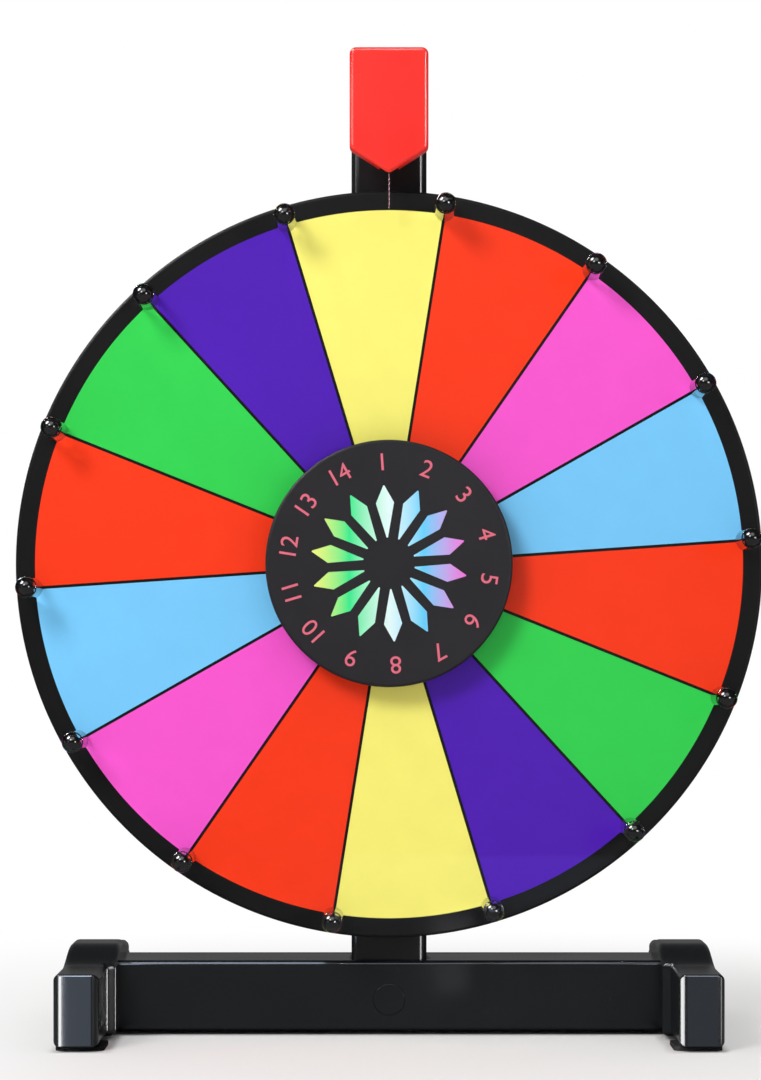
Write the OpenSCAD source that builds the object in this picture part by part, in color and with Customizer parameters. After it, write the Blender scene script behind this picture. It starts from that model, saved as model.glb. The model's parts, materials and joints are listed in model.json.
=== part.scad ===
// Tabletop prize wheel: a board with coloured sectors and clear pegs spins on two ball bearings
// in front of a post, and a springy needle under a red pointer clicks against the pegs.
// Millimetres. +X is to the right, +Y to the back and +Z up. The origin is on the table,
// under the middle of the stand.

/* [Wheel] */
// Diameter of the board
wheel_d = 457; // [400:1:520]
// Thickness of the board
board_t = 8; // [6:0.5:12]
// Radius on the board's edges
board_edge_r = 2; // [1:0.5:2.5]
// Height of the board's rim above the crossbar
rim_above_bar = 15.5; // [8:0.5:40]
// Gap between the post and the board
post_to_board = 14; // [13:0.5:24]
// Number of sectors, with a peg at each dividing line
sector_count = 14; // [7:7:21]
// Angle of the first dividing line, clockwise from the top
sector_turn = 9; // [0:0.5:20]
// Width of the black rim outside the colours
rim_w = 12; // [11:0.5:18]
// Width of the black line between two sectors
line_w = 1.8; // [1:0.1:4]
// Thickness of the coloured film
film_t = 0.3; // [0.2:0.1:0.6]

/* [Pegs] */
// Diameter of a clear peg
peg_d = 13; // [10:0.5:14]
// Length of a peg in front of the board
peg_l = 38; // [30:1:46]
// Distance from the board's rim to the middle of a peg
peg_inset = 10; // [8:0.5:14]
// Diameter of the stem through the board
stem_d = 6; // [4:0.5:8]
// Diameter of the domed cap
cap_d = 9.5; // [7:0.5:10]
// Height of the domed cap
cap_h = 3.5; // [2.5:0.5:4.5]
// Diameter of the cap's shank
cap_shank_d = 4; // [3:0.5:5]
// Length of the cap's shank
cap_shank_l = 8; // [5:0.5:12]
// Diameter of the push-on clip behind the board
clip_d = 14; // [12:0.5:18]

/* [Hub] */
// Diameter of the flange behind the board
flange_d = 90; // [80:1:110]
// Thickness of the flange
flange_t = 4; // [3:0.5:5]
// Reach of the bearing housing behind the flange
housing_rear = 5; // [4:0.5:6]
// Wall of the bearing housing
housing_wall = 6; // [4:0.5:8]
// Margin of the drum outside the flange
drum_margin = 11; // [8:0.5:16]
// Wall of the drum
drum_wall = 4; // [3:0.5:6]
// Overhang of the round cover outside the drum
cover_overhang = 19; // [10:0.5:24]
// Wall of the cover
cover_wall = 2.5; // [2:0.5:4]
// Depth of the cover's edge
cover_edge_h = 6; // [5:0.5:9]
// Radius on the cover's front edge
cover_edge_r = 2; // [1:0.5:2]
// Diameter of a hub screw
hub_screw_d = 5; // [4:0.5:6]
// Number of hub screws
hub_screw_count = 6; // [3:1:8]

/* [Axle and bearings] */
// Diameter of the axle bolt
axle_d = 12; // [10:0.5:14]
// Outside diameter of a bearing
bearing_od = 28; // [26:0.5:34]
// Width of a bearing
bearing_w = 8; // [7:0.5:10]
// Distance between the two bearings
bearing_gap = 8; // [6:0.5:12]
// Diameter of a bearing ball
ball_d = 4.76; // [4:0.02:5]
// Thickness of the axle washers
washer_t = 1.5; // [1:0.1:2]
// Height of the axle nut
nut_h = 6; // [5:0.5:8]
// Wall of the sleeve inside the post
sleeve_wall = 3; // [2:0.5:5]

/* [Post] */
// Width of the post
post_w = 46.5; // [42:0.5:55]
// Depth of the post
post_d = 46; // [42:0.5:55]
// Wall of the post
post_wall = 2.5; // [1.5:0.5:4]
// Radius on the post's corners
post_r = 5; // [4.5:0.5:7]
// Diameter of the bolt through the foot of the post
post_bolt_d = 8; // [6:0.5:9]
// Height of the post bolt above the table
post_bolt_z = 22; // [20:0.5:26]

/* [Crossbar and feet] */
// Width over both feet
base_w = 397; // [340:1:460]
// Length of a foot from toe to heel
foot_l = 232; // [200:1:280]
// Width of a toe
toe_w = 27; // [24:0.5:34]
// Height of a toe and of the crossbar
toe_h = 46; // [42:0.5:54]
// How much wider the collar is than the toe
collar_out = 5; // [3:0.5:8]
// Length of the collar beyond the crossbar at each side
collar_wall = 24.5; // [16:0.5:30]
// Length of the shoulder from the collar to a toe's inner side
shoulder_l = 3; // [2:0.5:8]
// How much higher the crest of a foot is than its toe
crest_up = 9.5; // [6:0.5:12]
// Length of the crest
crest_l = 20; // [10:1:40]
// Length of the slope from the crest down to a toe
slope_l = 56; // [45:1:65]
// Radius on the feet's long edges
foot_edge_r = 4; // [2.5:0.5:5]
// Radius on the upright edges of toe and heel
toe_corner_r = 5; // [3:0.5:6]
// Radius on the level edges of toe and heel
toe_edge_r = 1.5; // [1:0.5:2.5]
// Radius on the crossbar's edges
bar_edge_r = 3; // [2:0.5:5]
// Wall of the moulded feet and crossbar
mould_wall = 4; // [3:0.5:5]
// Wall between the post and the crossbar's faces
socket_wall = 6; // [5.5:0.5:9]
// Thickness of a foot behind the crossbar's end
foot_end_wall = 10; // [8.5:0.5:14]
// Number of cells in each half of the crossbar
bar_cells = 4; // [2:1:6]
// Diameter of a foot screw
foot_screw_d = 5; // [4:0.5:6]
// Diameter of the plug in the crossbar's face
plug_d = 19.4; // [18:0.2:24]
// Thickness of the rubber pads
pad_t = 2.5; // [2:0.5:4]
// Width of a pad
pad_w = 29; // [25:0.5:32]
// Length of a pad
pad_l = 36; // [25:1:50]

/* [Pointer and needle] */
// Width of the pointer
pointer_w = 47.7; // [40:0.1:60]
// Height of the pointer from its tip to its top
pointer_h = 77; // [65:1:95]
// Height of the pointer's vee
vee_h = 15; // [10:0.5:20]
// Radius on the pointer's corners
pointer_corner_r = 4; // [3:0.5:5]
// Radius on the pointer's front edge
pointer_edge_r = 2.5; // [1:0.5:2.5]
// Wall of the pointer
pointer_wall = 3; // [2.5:0.5:4]
// Depth of the pointer
pointer_depth = 12.5; // [11:0.5:18]
// Height of the pointer's tip above the board's rim
tip_above_rim = 6.5; // [4:0.5:12]
// Depth of the pointer's top above the post
pointer_above_post = 12; // [9:0.5:16]
// Width of the arm that carries the pointer
arm_w = 32; // [26:0.5:36]
// Height of the arm below the top of the post
arm_drop = 38; // [32:1:42]
// Wall of the arm
arm_wall = 3; // [2:0.5:4]
// Diameter of the needle's wire
needle_d = 1.2; // [0.8:0.1:2]
// Radius of the needle's eye, to the middle of the wire
eye_r = 1.6; // [1.5:0.1:2.4]
// How far the needle reaches past the outer side of the pegs
needle_bite = 10; // [4:0.5:12]

/* [Clearances] */
// Gap round pieces that are fixed together
fit = 0.2; // [0.1:0.05:0.4]
// Gap round pressed pieces
press_gap = 0.02; // [0.01:0.01:0.05]
// Running gap of balls and needle
run_gap = 0.05; // [0.02:0.01:0.1]

/* [Hidden] */
$fn = 64;

// Steps on a moulded corner, on a rounded end, on a foot's shoulder and along its slope
corner_steps = 5;
end_steps = 6;
shoulder_steps = 6;
toe_steps = 4;
slope_steps = 12;

// Overlap of cuts with what they cut, and of shapes that are joined
over = 1;
weld = 0.5;

// Proportions of screws, bolts and nuts
socket_ratio = 0.9;
head_ratio = 1.7;
hex_ratio = 1.75;
nut_ratio = 0.8;
screw_tip_gap = 2;

// Heights
bar_top = toe_h;
bar_bottom = pad_t;
axle_z = bar_top + rim_above_bar + wheel_d / 2;
post_bottom = bar_bottom + mould_wall;
tip_z = axle_z + wheel_d / 2 + tip_above_rim;
pointer_top = tip_z + pointer_h;
post_top = pointer_top - pointer_above_post;

// Distances in front of the post's middle
post_front = post_d / 2;
board_back = post_front + post_to_board;
face = board_back + board_t;
housing_back = board_back - flange_t - housing_rear;
housing_l = 2 * bearing_w + bearing_gap;
housing_front = housing_back + housing_l;
nut_front = housing_front + washer_t + nut_h;
axle_overhang = 1.5;
axle_front = nut_front + axle_overhang;
cover_gap = 2;
cover_inside = axle_front + cover_gap;
cover_front = cover_inside + cover_wall;
needle_plane = face + peg_l / 2;
eye_play = 0.3;
eye_boss_h = 2.5;
pointer_inside = needle_plane + needle_d / 2 + eye_play + eye_boss_h;
pointer_front = pointer_inside + pointer_wall;
pointer_back = pointer_front - pointer_depth;

// Wheel
colour_run = 7;
pitch = 360 / sector_count;
field_r = wheel_d / 2 - rim_w;
peg_circle_r = wheel_d / 2 - peg_inset;
clip_flange_t = 1.2;
clip_h = 5;
clip_brim = 1.5;
stem_rear = 3.5;
peg_bevel = 0.6;
cap_rim_h = 0.8;
cap_tip_gap = 0.5;
housing_d = bearing_od + 2 * housing_wall;
drum_d = flange_d + 2 * drum_margin;
drum_base_t = 4;
cover_d = drum_d + 2 * cover_overhang;
cover_spigot_l = 5;
film_inner_r = drum_d / 2 + 2;
hub_screw_circle_r = (housing_d + flange_d) / 4;
hub_screw_grip = 3;
hub_tip_gap = 0.5;
hub_head_h = 3;

// Bearings
pitch_r = (axle_d + bearing_od) / 4;
groove_depth = 0.9;
ball_spacing = 2.2;
ball_count = floor(180 / asin((ball_d + ball_spacing) / 2 / pitch_r));
inner_land_r = pitch_r - ball_d / 2 + groove_depth;
outer_land_r = pitch_r + ball_d / 2 - groove_depth;
cage_t = 1.6;
cage_margin = 0.6;
cage_w = ball_d + 2 * cage_margin;
cage_gap = 0.1;
land_clear = 0.5;
collar_d = 2 * (inner_land_r - land_clear);
bearing_backs = [housing_back, housing_back + bearing_w + bearing_gap];
axle_head_h = 7.5;
rear_washer_d = 2 * axle_d;
axle_hex_d = axle_d * hex_ratio;

// Crossbar and feet
bar_depth = post_d + 2 * socket_wall;
bar_half = base_w / 2 - foot_end_wall - fit;
collar_half = bar_depth / 2 + collar_wall;
shoulder_half = collar_half + shoulder_l;
slope_half = max(crest_l / 2 + slope_l, shoulder_half + over);
end_corner_r = 0.5;
pocket_web = 8;
rib_t = 2.5;
screw_boss_d = 2 * foot_screw_d;
screw_boss_l = 20;
screw_boss_floor = 2;
screw_y = bar_depth / 4;
screw_z = (bar_bottom + bar_top) / 2;
screw_head_d = head_ratio * foot_screw_d;
pad_inset = 0.5;
pad_setback = 8;
pad_corner_r = 5;
pad_plug_h = 4;
pad_plug_margin = 4;
pad_plug_l = pad_l - 2 * pad_plug_margin;
bolt_head_d = post_bolt_d * hex_ratio;
plug_skirt = 1.6;
plug_face_t = 1.6;
plug_gap = 0.4;
bolt_head_h = socket_wall - plug_face_t - plug_gap;
bolt_nut_h = post_bolt_d * nut_ratio;
bolt_washer_t = 1.6;
bolt_washer_d = 2 * post_bolt_d;
nut_recess = 2.5;

// Pointer and needle
eye_above_tip = 4.5;
pivot_z = tip_z + eye_above_tip;
pivot_r = pivot_z - axle_z;
needle_l = pivot_r - (peg_circle_r + peg_d / 2 - needle_bite);
pin_d = 2 * (eye_r - needle_d / 2 - run_gap);
eye_head_lip = 0.3;
eye_head_d = 2 * (eye_r + eye_head_lip) + needle_d;
eye_head_h = 1.6;
needle_slot_w = 12;
pointer_inner_r = 1;
pointer_boss_d = 9;
pointer_screw_d = 4;
pointer_head_h = 2.6;
lower_screw_rise = 8;
upper_screw_drop = 6;
pointer_screw_z = [post_top - arm_drop + lower_screw_rise, post_top - upper_screw_drop];
arm_cap_t = 6;
arm_plug_l = 30;
arm_screw_drop = 15;

// Colours
black_plastic = [0.11, 0.115, 0.12];
black_board = [0.09, 0.09, 0.09];
black_rubber = [0.05, 0.05, 0.05];
black_metal = [0.14, 0.14, 0.15];
steel = [0.75, 0.76, 0.78];
clear_plastic = [0.85, 0.92, 0.95, 0.4];
pointer_red = [1.0, 0.22, 0.18];

// Smooth step from 0 to 1
function smooth(t) = let (c = min(1, max(0, t))) c * c * (3 - 2 * c);

// Angle of the outward normal of the edge from a to b, on an outline that runs anticlockwise
function edge_normal(a, b) = atan2(b.y - a.y, b.x - a.x) - 90;

// Outline of a convex polygon with round corners: an arc of radius r about each corner's centre
function rounded_outline(centres, r) = [
    for (i = [0 : len(centres) - 1])
        let (
            before = centres[(i + len(centres) - 1) % len(centres)],
            after = centres[(i + 1) % len(centres)],
            from = edge_normal(before, centres[i]),
            bend = (edge_normal(centres[i], after) - from + 720) % 360
        )
        for (s = [0 : corner_steps])
            let (a = from + bend * s / corner_steps)
            centres[i] + r * [cos(a), sin(a)]
];

// Solid skin over rows of points. The first row is seen from outside as anticlockwise.
module loft(rows) {
    n = len(rows[0]);
    last = (len(rows) - 1) * n;
    sides = [
        for (j = [0 : len(rows) - 2], i = [0 : n - 1])
            let (a = j * n + i, b = j * n + (i + 1) % n)
            each [[a, b, b + n], [a, b + n, a + n]]
    ];
    caps = [[for (i = [n - 1 : -1 : 0]) i], [for (i = [0 : n - 1]) last + i]];
    polyhedron([for (row = rows) each row], concat(sides, caps), convexity = 6);
}

// Rectangle with round corners, about its middle
module rounded_rect(w, h, r) {
    square([w, h - 2 * r], center = true);
    square([w - 2 * r, h], center = true);
    for (x = [-1, 1], y = [-1, 1])
        translate([x * (w / 2 - r), y * (h / 2 - r)])
            circle(r);
}

// Places children at a height z, with their +Z towards the front and their +Y up
module facing(z) {
    translate([0, 0, z])
        rotate([90, 0, 0])
            children();
}

module on_axle() {
    facing(axle_z)
        children();
}

// Tube about Z, from z = back to z = front
module tube(d, bore, back, front) {
    translate([0, 0, back])
        difference() {
            cylinder(d = d, h = front - back);
            translate([0, 0, -over])
                cylinder(d = bore, h = front - back + 2 * over);
        }
}

// Slice of a sphere, d wide and h high
module dome(d, h) {
    r = (d * d / 4 + h * h) / (2 * h);
    intersection() {
        translate([0, 0, h - r])
            sphere(r);
        cylinder(d = d, h = h);
    }
}

// Screw with its head above z = 0, a socket in the head and its shank below
module socket_screw(d, l, head_d, head_h) {
    difference() {
        union() {
            cylinder(d = head_d, h = head_h);
            translate([0, 0, -l])
                cylinder(d = d, h = l + head_h / 2);
        }
        translate([0, 0, head_h / 2])
            cylinder(d = d * socket_ratio, h = head_h, $fn = 6);
    }
}

module around(count, r, turn = 0) {
    for (i = [0 : count - 1])
        rotate(90 - turn - i * 360 / count)
            translate([r, 0, 0])
                children();
}

module at_pegs() {
    around(sector_count, peg_circle_r, sector_turn)
        children();
}

// Feet

// How far the collar and the crest have come at y, from 0 on the toes to 1 at the middle
function shoulder(y) = smooth((shoulder_half - abs(y)) / shoulder_l);
function crest(y) = smooth((slope_half - abs(y)) / (slope_half - crest_l / 2));

// How far a round of radius r, at toe and heel, draws the section in at y
function end_inset(y, r) = let (past = max(0, abs(y) - foot_l / 2 + r)) r - sqrt(max(0, r * r - past * past));

// Cross-section of the right foot at y
function foot_section(y) =
    let (
        aside = end_inset(y, toe_corner_r),
        down = end_inset(y, toe_edge_r),
        r = max(end_corner_r, foot_edge_r - aside),
        outer = base_w / 2 - aside - r,
        inner = base_w / 2 - toe_w - collar_out * shoulder(y) + aside + r,
        low = pad_t + down + r,
        high = toe_h + crest_up * crest(y) - down - r
    )
    [for (p = rounded_outline([[inner, low], [outer, low], [outer, high], [inner, high]], r)) [p.x, y, p.y]];

function stretch(from, to, steps) = [for (s = [0 : steps - 1]) from + (to - from) * s / steps];

// Places of the sections along half a foot, from the crest to the toe
foot_places = concat(
    stretch(crest_l / 2, collar_half, slope_steps),
    stretch(collar_half, shoulder_half, shoulder_steps),
    stretch(shoulder_half, slope_half, toe_steps),
    [slope_half],
    [for (s = [0 : end_steps]) foot_l / 2 - toe_corner_r * (1 - sin(90 * s / end_steps))]
);

function foot_rows() = concat(
    [for (i = [len(foot_places) - 1 : -1 : 0]) foot_section(-foot_places[i])],
    [for (y = foot_places) foot_section(y)]
);

pocket_w = toe_w - 2 * mould_wall;
pocket_x = base_w / 2 - mould_wall - pocket_w;
pocket_y = bar_depth / 2 + pocket_web;
pocket_l = foot_l / 2 - mould_wall - pocket_y;

module foot_screw_places() {
    for (y = [-screw_y, screw_y])
        translate([base_w / 2 - foot_end_wall + mould_wall, y, screw_z])
            rotate([0, 90, 0])
                children();
}

module foot_shape() {
    difference() {
        loft(foot_rows());
        // socket for the crossbar's end
        translate([0, -bar_depth / 2 - fit, -over])
            cube([bar_half + fit, bar_depth + 2 * fit, bar_top + fit + over]);
        // hollows of the toe and the heel
        for (m = [0, 1])
            mirror([0, m, 0])
                translate([pocket_x, pocket_y, -over])
                    cube([pocket_w, pocket_l, toe_h - mould_wall + over]);
        // counterbored screw holes
        foot_screw_places() {
            cylinder(d = screw_head_d + 2 * fit, h = foot_end_wall);
            translate([0, 0, -foot_end_wall])
                cylinder(d = foot_screw_d + 2 * fit, h = foot_end_wall + over);
        }
    }
}

module right_foot() {
    color(black_plastic)
        foot_shape();
}

module left_foot() {
    color(black_plastic)
        mirror([1, 0, 0])
            foot_shape();
}

module pad() {
    translate([base_w / 2 - pad_inset - pad_w / 2, foot_l / 2 - pad_setback - pad_l / 2, 0])
        linear_extrude(pad_t)
            rounded_rect(pad_w, pad_l, pad_corner_r);
    // plug in the mouth of the hollow
    translate([pocket_x + fit, foot_l / 2 - pad_setback - pad_l / 2 - pad_plug_l / 2, pad_t / 2])
        cube([pocket_w - 2 * fit, pad_plug_l, pad_t / 2 + pad_plug_h]);
}

module foot_pads() {
    color(black_rubber)
        for (mx = [0, 1], my = [0, 1])
            mirror([mx, 0, 0])
                mirror([0, my, 0])
                    pad();
}

module foot_screws() {
    l = mould_wall + screw_boss_l - screw_boss_floor - screw_tip_gap;
    color(black_metal)
        for (m = [0, 1])
            mirror([m, 0, 0])
                foot_screw_places()
                    socket_screw(foot_screw_d, l, screw_head_d, foot_screw_d);
}

// Crossbar and post

bar_cell_from = post_w / 2 + fit + socket_wall;
bar_cell_w = (bar_half - mould_wall - bar_cell_from - (bar_cells - 1) * rib_t) / bar_cells;

module bar_cavities() {
    for (m = [0, 1], i = [0 : bar_cells - 1])
        mirror([m, 0, 0])
            translate([bar_cell_from + i * (bar_cell_w + rib_t), -bar_depth / 2 + mould_wall, -over])
                cube([bar_cell_w, bar_depth - 2 * mould_wall, bar_top - mould_wall + over]);
}

module bar_screw_bosses(d, from, to) {
    for (m = [0, 1], y = [-screw_y, screw_y])
        mirror([m, 0, 0])
            translate([from, y, screw_z])
                rotate([0, 90, 0])
                    cylinder(d = d, h = to - from);
}

module crossbar() {
    color(black_plastic)
        difference() {
            union() {
                difference() {
                    translate([-bar_half, 0, (bar_top + bar_bottom) / 2])
                        rotate([90, 0, 90])
                            linear_extrude(2 * bar_half)
                                rounded_rect(bar_depth, bar_top - bar_bottom, bar_edge_r);
                    bar_cavities();
                }
                bar_screw_bosses(screw_boss_d, bar_half - screw_boss_l, bar_half - mould_wall / 2);
            }
            // socket for the post
            translate([0, 0, post_bottom])
                linear_extrude(bar_top)
                    rounded_rect(post_w + 2 * fit, post_d + 2 * fit, post_r + fit);
            bar_screw_bosses(
                foot_screw_d + 2 * press_gap,
                bar_half - screw_boss_l + screw_boss_floor,
                bar_half + over
            );
            facing(post_bolt_z) {
                translate([0, 0, -bar_depth])
                    cylinder(d = post_bolt_d + 2 * fit, h = 2 * bar_depth);
                cylinder(d = plug_d + 2 * fit, h = bar_depth);
                translate([0, 0, -bar_depth])
                    cylinder(d = bolt_washer_d + 2 * fit, h = bar_depth / 2 + nut_recess);
            }
        }
}

module crossbar_plug() {
    color(black_plastic)
        facing(post_bolt_z)
            difference() {
                translate([0, 0, post_front])
                    cylinder(d = plug_d, h = socket_wall);
                translate([0, 0, post_front - over])
                    cylinder(d = plug_d - 2 * plug_skirt, h = socket_wall - plug_face_t + over);
            }
}

module post() {
    color(black_plastic)
        difference() {
            translate([0, 0, post_bottom])
                linear_extrude(post_top - post_bottom)
                    difference() {
                        rounded_rect(post_w, post_d, post_r);
                        rounded_rect(post_w - 2 * post_wall, post_d - 2 * post_wall, post_r - post_wall);
                    }
            facing(post_bolt_z)
                cylinder(d = post_bolt_d + 2 * fit, h = 2 * post_d, center = true);
            on_axle()
                cylinder(d = axle_d + 2 * fit, h = 2 * post_d, center = true);
            facing(post_top - arm_screw_drop)
                translate([0, 0, -post_d])
                    cylinder(d = pointer_screw_d + 2 * fit, h = post_d);
        }
}

module post_bolt() {
    l = post_d + socket_wall + bolt_washer_t + bolt_nut_h;
    color(black_metal)
        facing(post_bolt_z)
            translate([0, 0, post_front])
                socket_screw(post_bolt_d, l, bolt_head_d, bolt_head_h);
}

module post_washer() {
    color(steel)
        facing(post_bolt_z)
            translate([0, 0, -bar_depth / 2 + nut_recess])
                tube(bolt_washer_d, post_bolt_d + 2 * fit, -bolt_washer_t, 0);
}

module post_nut() {
    color(steel)
        facing(post_bolt_z)
            translate([0, 0, -bar_depth / 2 + nut_recess - bolt_washer_t - bolt_nut_h])
                difference() {
                    cylinder(d = bolt_head_d, h = bolt_nut_h, $fn = 6);
                    translate([0, 0, -over])
                        cylinder(d = post_bolt_d + 2 * press_gap, h = bolt_nut_h + 2 * over);
                }
}

// Pointer

module pointer_screw_places() {
    for (z = pointer_screw_z)
        facing(z)
            children();
}

module pointer_arm() {
    inner_w = arm_w - 2 * arm_wall;
    box_back = post_front + fit;
    color(black_plastic)
        difference() {
            union() {
                // cap on the post
                translate([0, 0, post_top])
                    linear_extrude(arm_cap_t)
                        rounded_rect(post_w, post_d, post_r);
                // plug in the post
                translate([0, 0, post_top - arm_plug_l])
                    linear_extrude(arm_plug_l + over)
                        rounded_rect(
                            post_w - 2 * post_wall - 2 * fit,
                            post_d - 2 * post_wall - 2 * fit,
                            post_r - post_wall
                        );
                // arm in front of the post
                translate([-arm_w / 2, -pointer_back, post_top - arm_drop])
                    cube([arm_w, pointer_back - box_back, arm_drop + arm_cap_t]);
                translate([-arm_w / 2, -box_back, post_top])
                    cube([arm_w, post_r, arm_cap_t]);
            }
            // hollow of the arm, open below
            translate([-inner_w / 2, -pointer_back + arm_wall, post_top - arm_drop - over])
                cube([inner_w, pointer_back - box_back - 2 * arm_wall, arm_drop + over]);
            // hollow of the plug, open below
            translate([0, 0, post_top - arm_plug_l - over])
                linear_extrude(arm_plug_l + over)
                    square([inner_w, inner_w], center = true);
            pointer_screw_places()
                cylinder(d = pointer_screw_d + 2 * fit, h = 2 * pointer_back);
            facing(post_top - arm_screw_drop)
                translate([0, 0, -post_d])
                    cylinder(d = pointer_screw_d + 2 * press_gap, h = post_d);
        }
}

module arm_screw() {
    color(black_metal)
        facing(post_top - arm_screw_drop)
            translate([0, 0, -post_front])
                rotate([180, 0, 0])
                    socket_screw(pointer_screw_d, post_wall + arm_wall, pointer_screw_d * head_ratio, pointer_head_h);
}

// Outline of the pointer, about its tip, drawn in by inset and with corners of radius r
function pointer_outline(inset, r) =
    let (
        reach = inset + r,
        side = pointer_w / 2 - reach,
        top = pointer_h - reach,
        slope = atan2(vee_h, pointer_w / 2),
        low = vee_h + reach * (1 - sin(slope)) / cos(slope)
    )
    rounded_outline([[0, reach / cos(slope)], [side, low], [side, top], [-side, top], [-side, low]], r);

function pointer_row(inset, depth) = [
    for (p = pointer_outline(inset, pointer_corner_r - inset))
        [p.x, p.y, depth]
];

module pointer() {
    r = pointer_edge_r;
    rows = concat(
        [for (s = [end_steps : -1 : 0])
            let (a = 90 * s / end_steps)
            pointer_row(r * (1 - cos(a)), pointer_front - r + r * sin(a))],
        [pointer_row(0, pointer_back)]
    );
    color(pointer_red)
        difference() {
            union() {
                difference() {
                    facing(tip_z)
                        loft(rows);
                    facing(tip_z)
                        translate([0, 0, pointer_back - over])
                            linear_extrude(pointer_depth - pointer_wall + over)
                                polygon(pointer_outline(pointer_wall, pointer_inner_r));
                    // slot in the vee for the needle's swing
                    facing(tip_z)
                        translate([-needle_slot_w / 2, -over, pointer_back - over])
                            cube([needle_slot_w, vee_h, pointer_depth - pointer_wall + over]);
                }
                pointer_screw_places()
                    translate([0, 0, pointer_back])
                        cylinder(d = pointer_boss_d, h = pointer_depth - pointer_wall / 2);
                facing(pivot_z)
                    translate([0, 0, pointer_inside - eye_boss_h])
                        cylinder(d = 2 * eye_r + needle_d, h = eye_boss_h + pointer_wall / 2);
            }
            pointer_screw_places()
                translate([0, 0, pointer_back - over])
                    cylinder(d = pointer_screw_d + 2 * press_gap, h = pointer_depth - pointer_wall + over);
            facing(pivot_z)
                translate([0, 0, pointer_inside - eye_boss_h - over])
                    cylinder(d = pin_d + 2 * press_gap, h = eye_boss_h + over + pointer_wall / 2);
        }
}

module pointer_screws() {
    l = arm_wall + pointer_depth - pointer_wall - screw_tip_gap;
    color(black_metal)
        pointer_screw_places()
            translate([0, 0, pointer_back - arm_wall])
                rotate([180, 0, 0])
                    socket_screw(pointer_screw_d, l, pointer_screw_d * head_ratio, pointer_head_h);
}

module needle_screw() {
    head_front = needle_plane - needle_d / 2 - eye_play;
    color(steel)
        facing(pivot_z) {
            translate([0, 0, head_front - eye_head_h])
                cylinder(d = eye_head_d, h = eye_head_h);
            translate([0, 0, head_front - eye_head_h / 2])
                cylinder(d = pin_d, h = pointer_inside - head_front + eye_head_h / 2 + pointer_wall / 4);
        }
}

module needle() {
    color(steel)
        facing(pivot_z)
            translate([0, 0, needle_plane]) {
                rotate_extrude()
                    translate([eye_r, 0])
                        circle(d = needle_d);
                translate([0, -eye_r, 0])
                    rotate([90, 0, 0])
                        cylinder(d = needle_d, h = needle_l - eye_r - needle_d / 2);
                translate([0, -needle_l + needle_d / 2, 0])
                    sphere(d = needle_d);
            }
}

// Axle and bearings

module axle() {
    head_back = -post_front - washer_t;
    color(steel)
        on_axle() {
            translate([0, 0, head_back - axle_head_h])
                cylinder(d = axle_hex_d, h = axle_head_h, $fn = 6);
            translate([0, 0, head_back - axle_head_h / 2])
                cylinder(d = axle_d, h = axle_front - head_back + axle_head_h / 2);
        }
}

module axle_sleeve() {
    color(steel)
        on_axle()
            tube(
                axle_d + 2 * fit + 2 * sleeve_wall,
                axle_d + 2 * fit,
                -post_front + post_wall,
                post_front - post_wall
            );
}

module axle_collar() {
    color(steel)
        on_axle()
            tube(collar_d, axle_d + 2 * press_gap, post_front, housing_back);
}

module axle_washers() {
    color(steel)
        on_axle() {
            tube(rear_washer_d, axle_d + 2 * press_gap, -post_front - washer_t, -post_front);
            tube(collar_d, axle_d + 2 * press_gap, housing_front, housing_front + washer_t);
        }
}

module axle_nut() {
    color(steel)
        on_axle()
            difference() {
                translate([0, 0, housing_front + washer_t])
                    cylinder(d = axle_hex_d, h = nut_h, $fn = 6);
                translate([0, 0, housing_front])
                    cylinder(d = axle_d + 2 * press_gap, h = axle_front);
            }
}

// Ring between two radii with a groove for the balls
module bearing_ring(inner_r, outer_r) {
    rotate_extrude()
        difference() {
            translate([inner_r, 0])
                square([outer_r - inner_r, bearing_w]);
            translate([pitch_r, bearing_w / 2])
                circle(ball_d / 2 + run_gap);
        }
}

module at_bearings() {
    on_axle()
        for (back = bearing_backs)
            translate([0, 0, back])
                children();
}

module bearing_inner_rings() {
    color(steel)
        at_bearings()
            bearing_ring(axle_d / 2 + press_gap, inner_land_r);
}

module bearing_outer_rings() {
    color(steel)
        at_bearings()
            bearing_ring(outer_land_r, bearing_od / 2);
}

module bearing_spacer() {
    color(steel)
        on_axle()
            tube(collar_d, axle_d + 2 * press_gap, housing_back + bearing_w, housing_front - bearing_w);
}

module bearing_balls() {
    color(steel)
        at_bearings()
            translate([0, 0, bearing_w / 2])
                around(ball_count, pitch_r)
                    sphere(d = ball_d);
}

module bearing_cages() {
    color(steel)
        at_bearings()
            difference() {
                rotate_extrude()
                    translate([pitch_r - cage_t / 2, (bearing_w - cage_w) / 2])
                        square([cage_t, cage_w]);
                translate([0, 0, bearing_w / 2])
                    around(ball_count, pitch_r)
                        rotate([0, 90, 0])
                            cylinder(d = ball_d + 2 * cage_gap, h = ball_d, center = true);
            }
}

// Wheel

module at_hub_screws() {
    around(hub_screw_count, hub_screw_circle_r)
        children();
}

// Disc from z = 0 to z = t with round edges
module round_edged_disc(d, t, r) {
    rotate_extrude() {
        square([d / 2 - r, t]);
        translate([0, r])
            square([d / 2, t - 2 * r]);
        for (z = [r, t - r])
            translate([d / 2 - r, z])
                circle(r);
    }
}

module wheel_board() {
    color(black_board)
        on_axle()
            difference() {
                translate([0, 0, board_back])
                    round_edged_disc(wheel_d, board_t, board_edge_r);
                cylinder(d = housing_d + 2 * fit, h = 2 * face);
                at_hub_screws()
                    cylinder(d = hub_screw_d + 2 * fit, h = 2 * face);
                at_pegs()
                    cylinder(d = stem_d + 2 * fit, h = 2 * face);
            }
}

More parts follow.
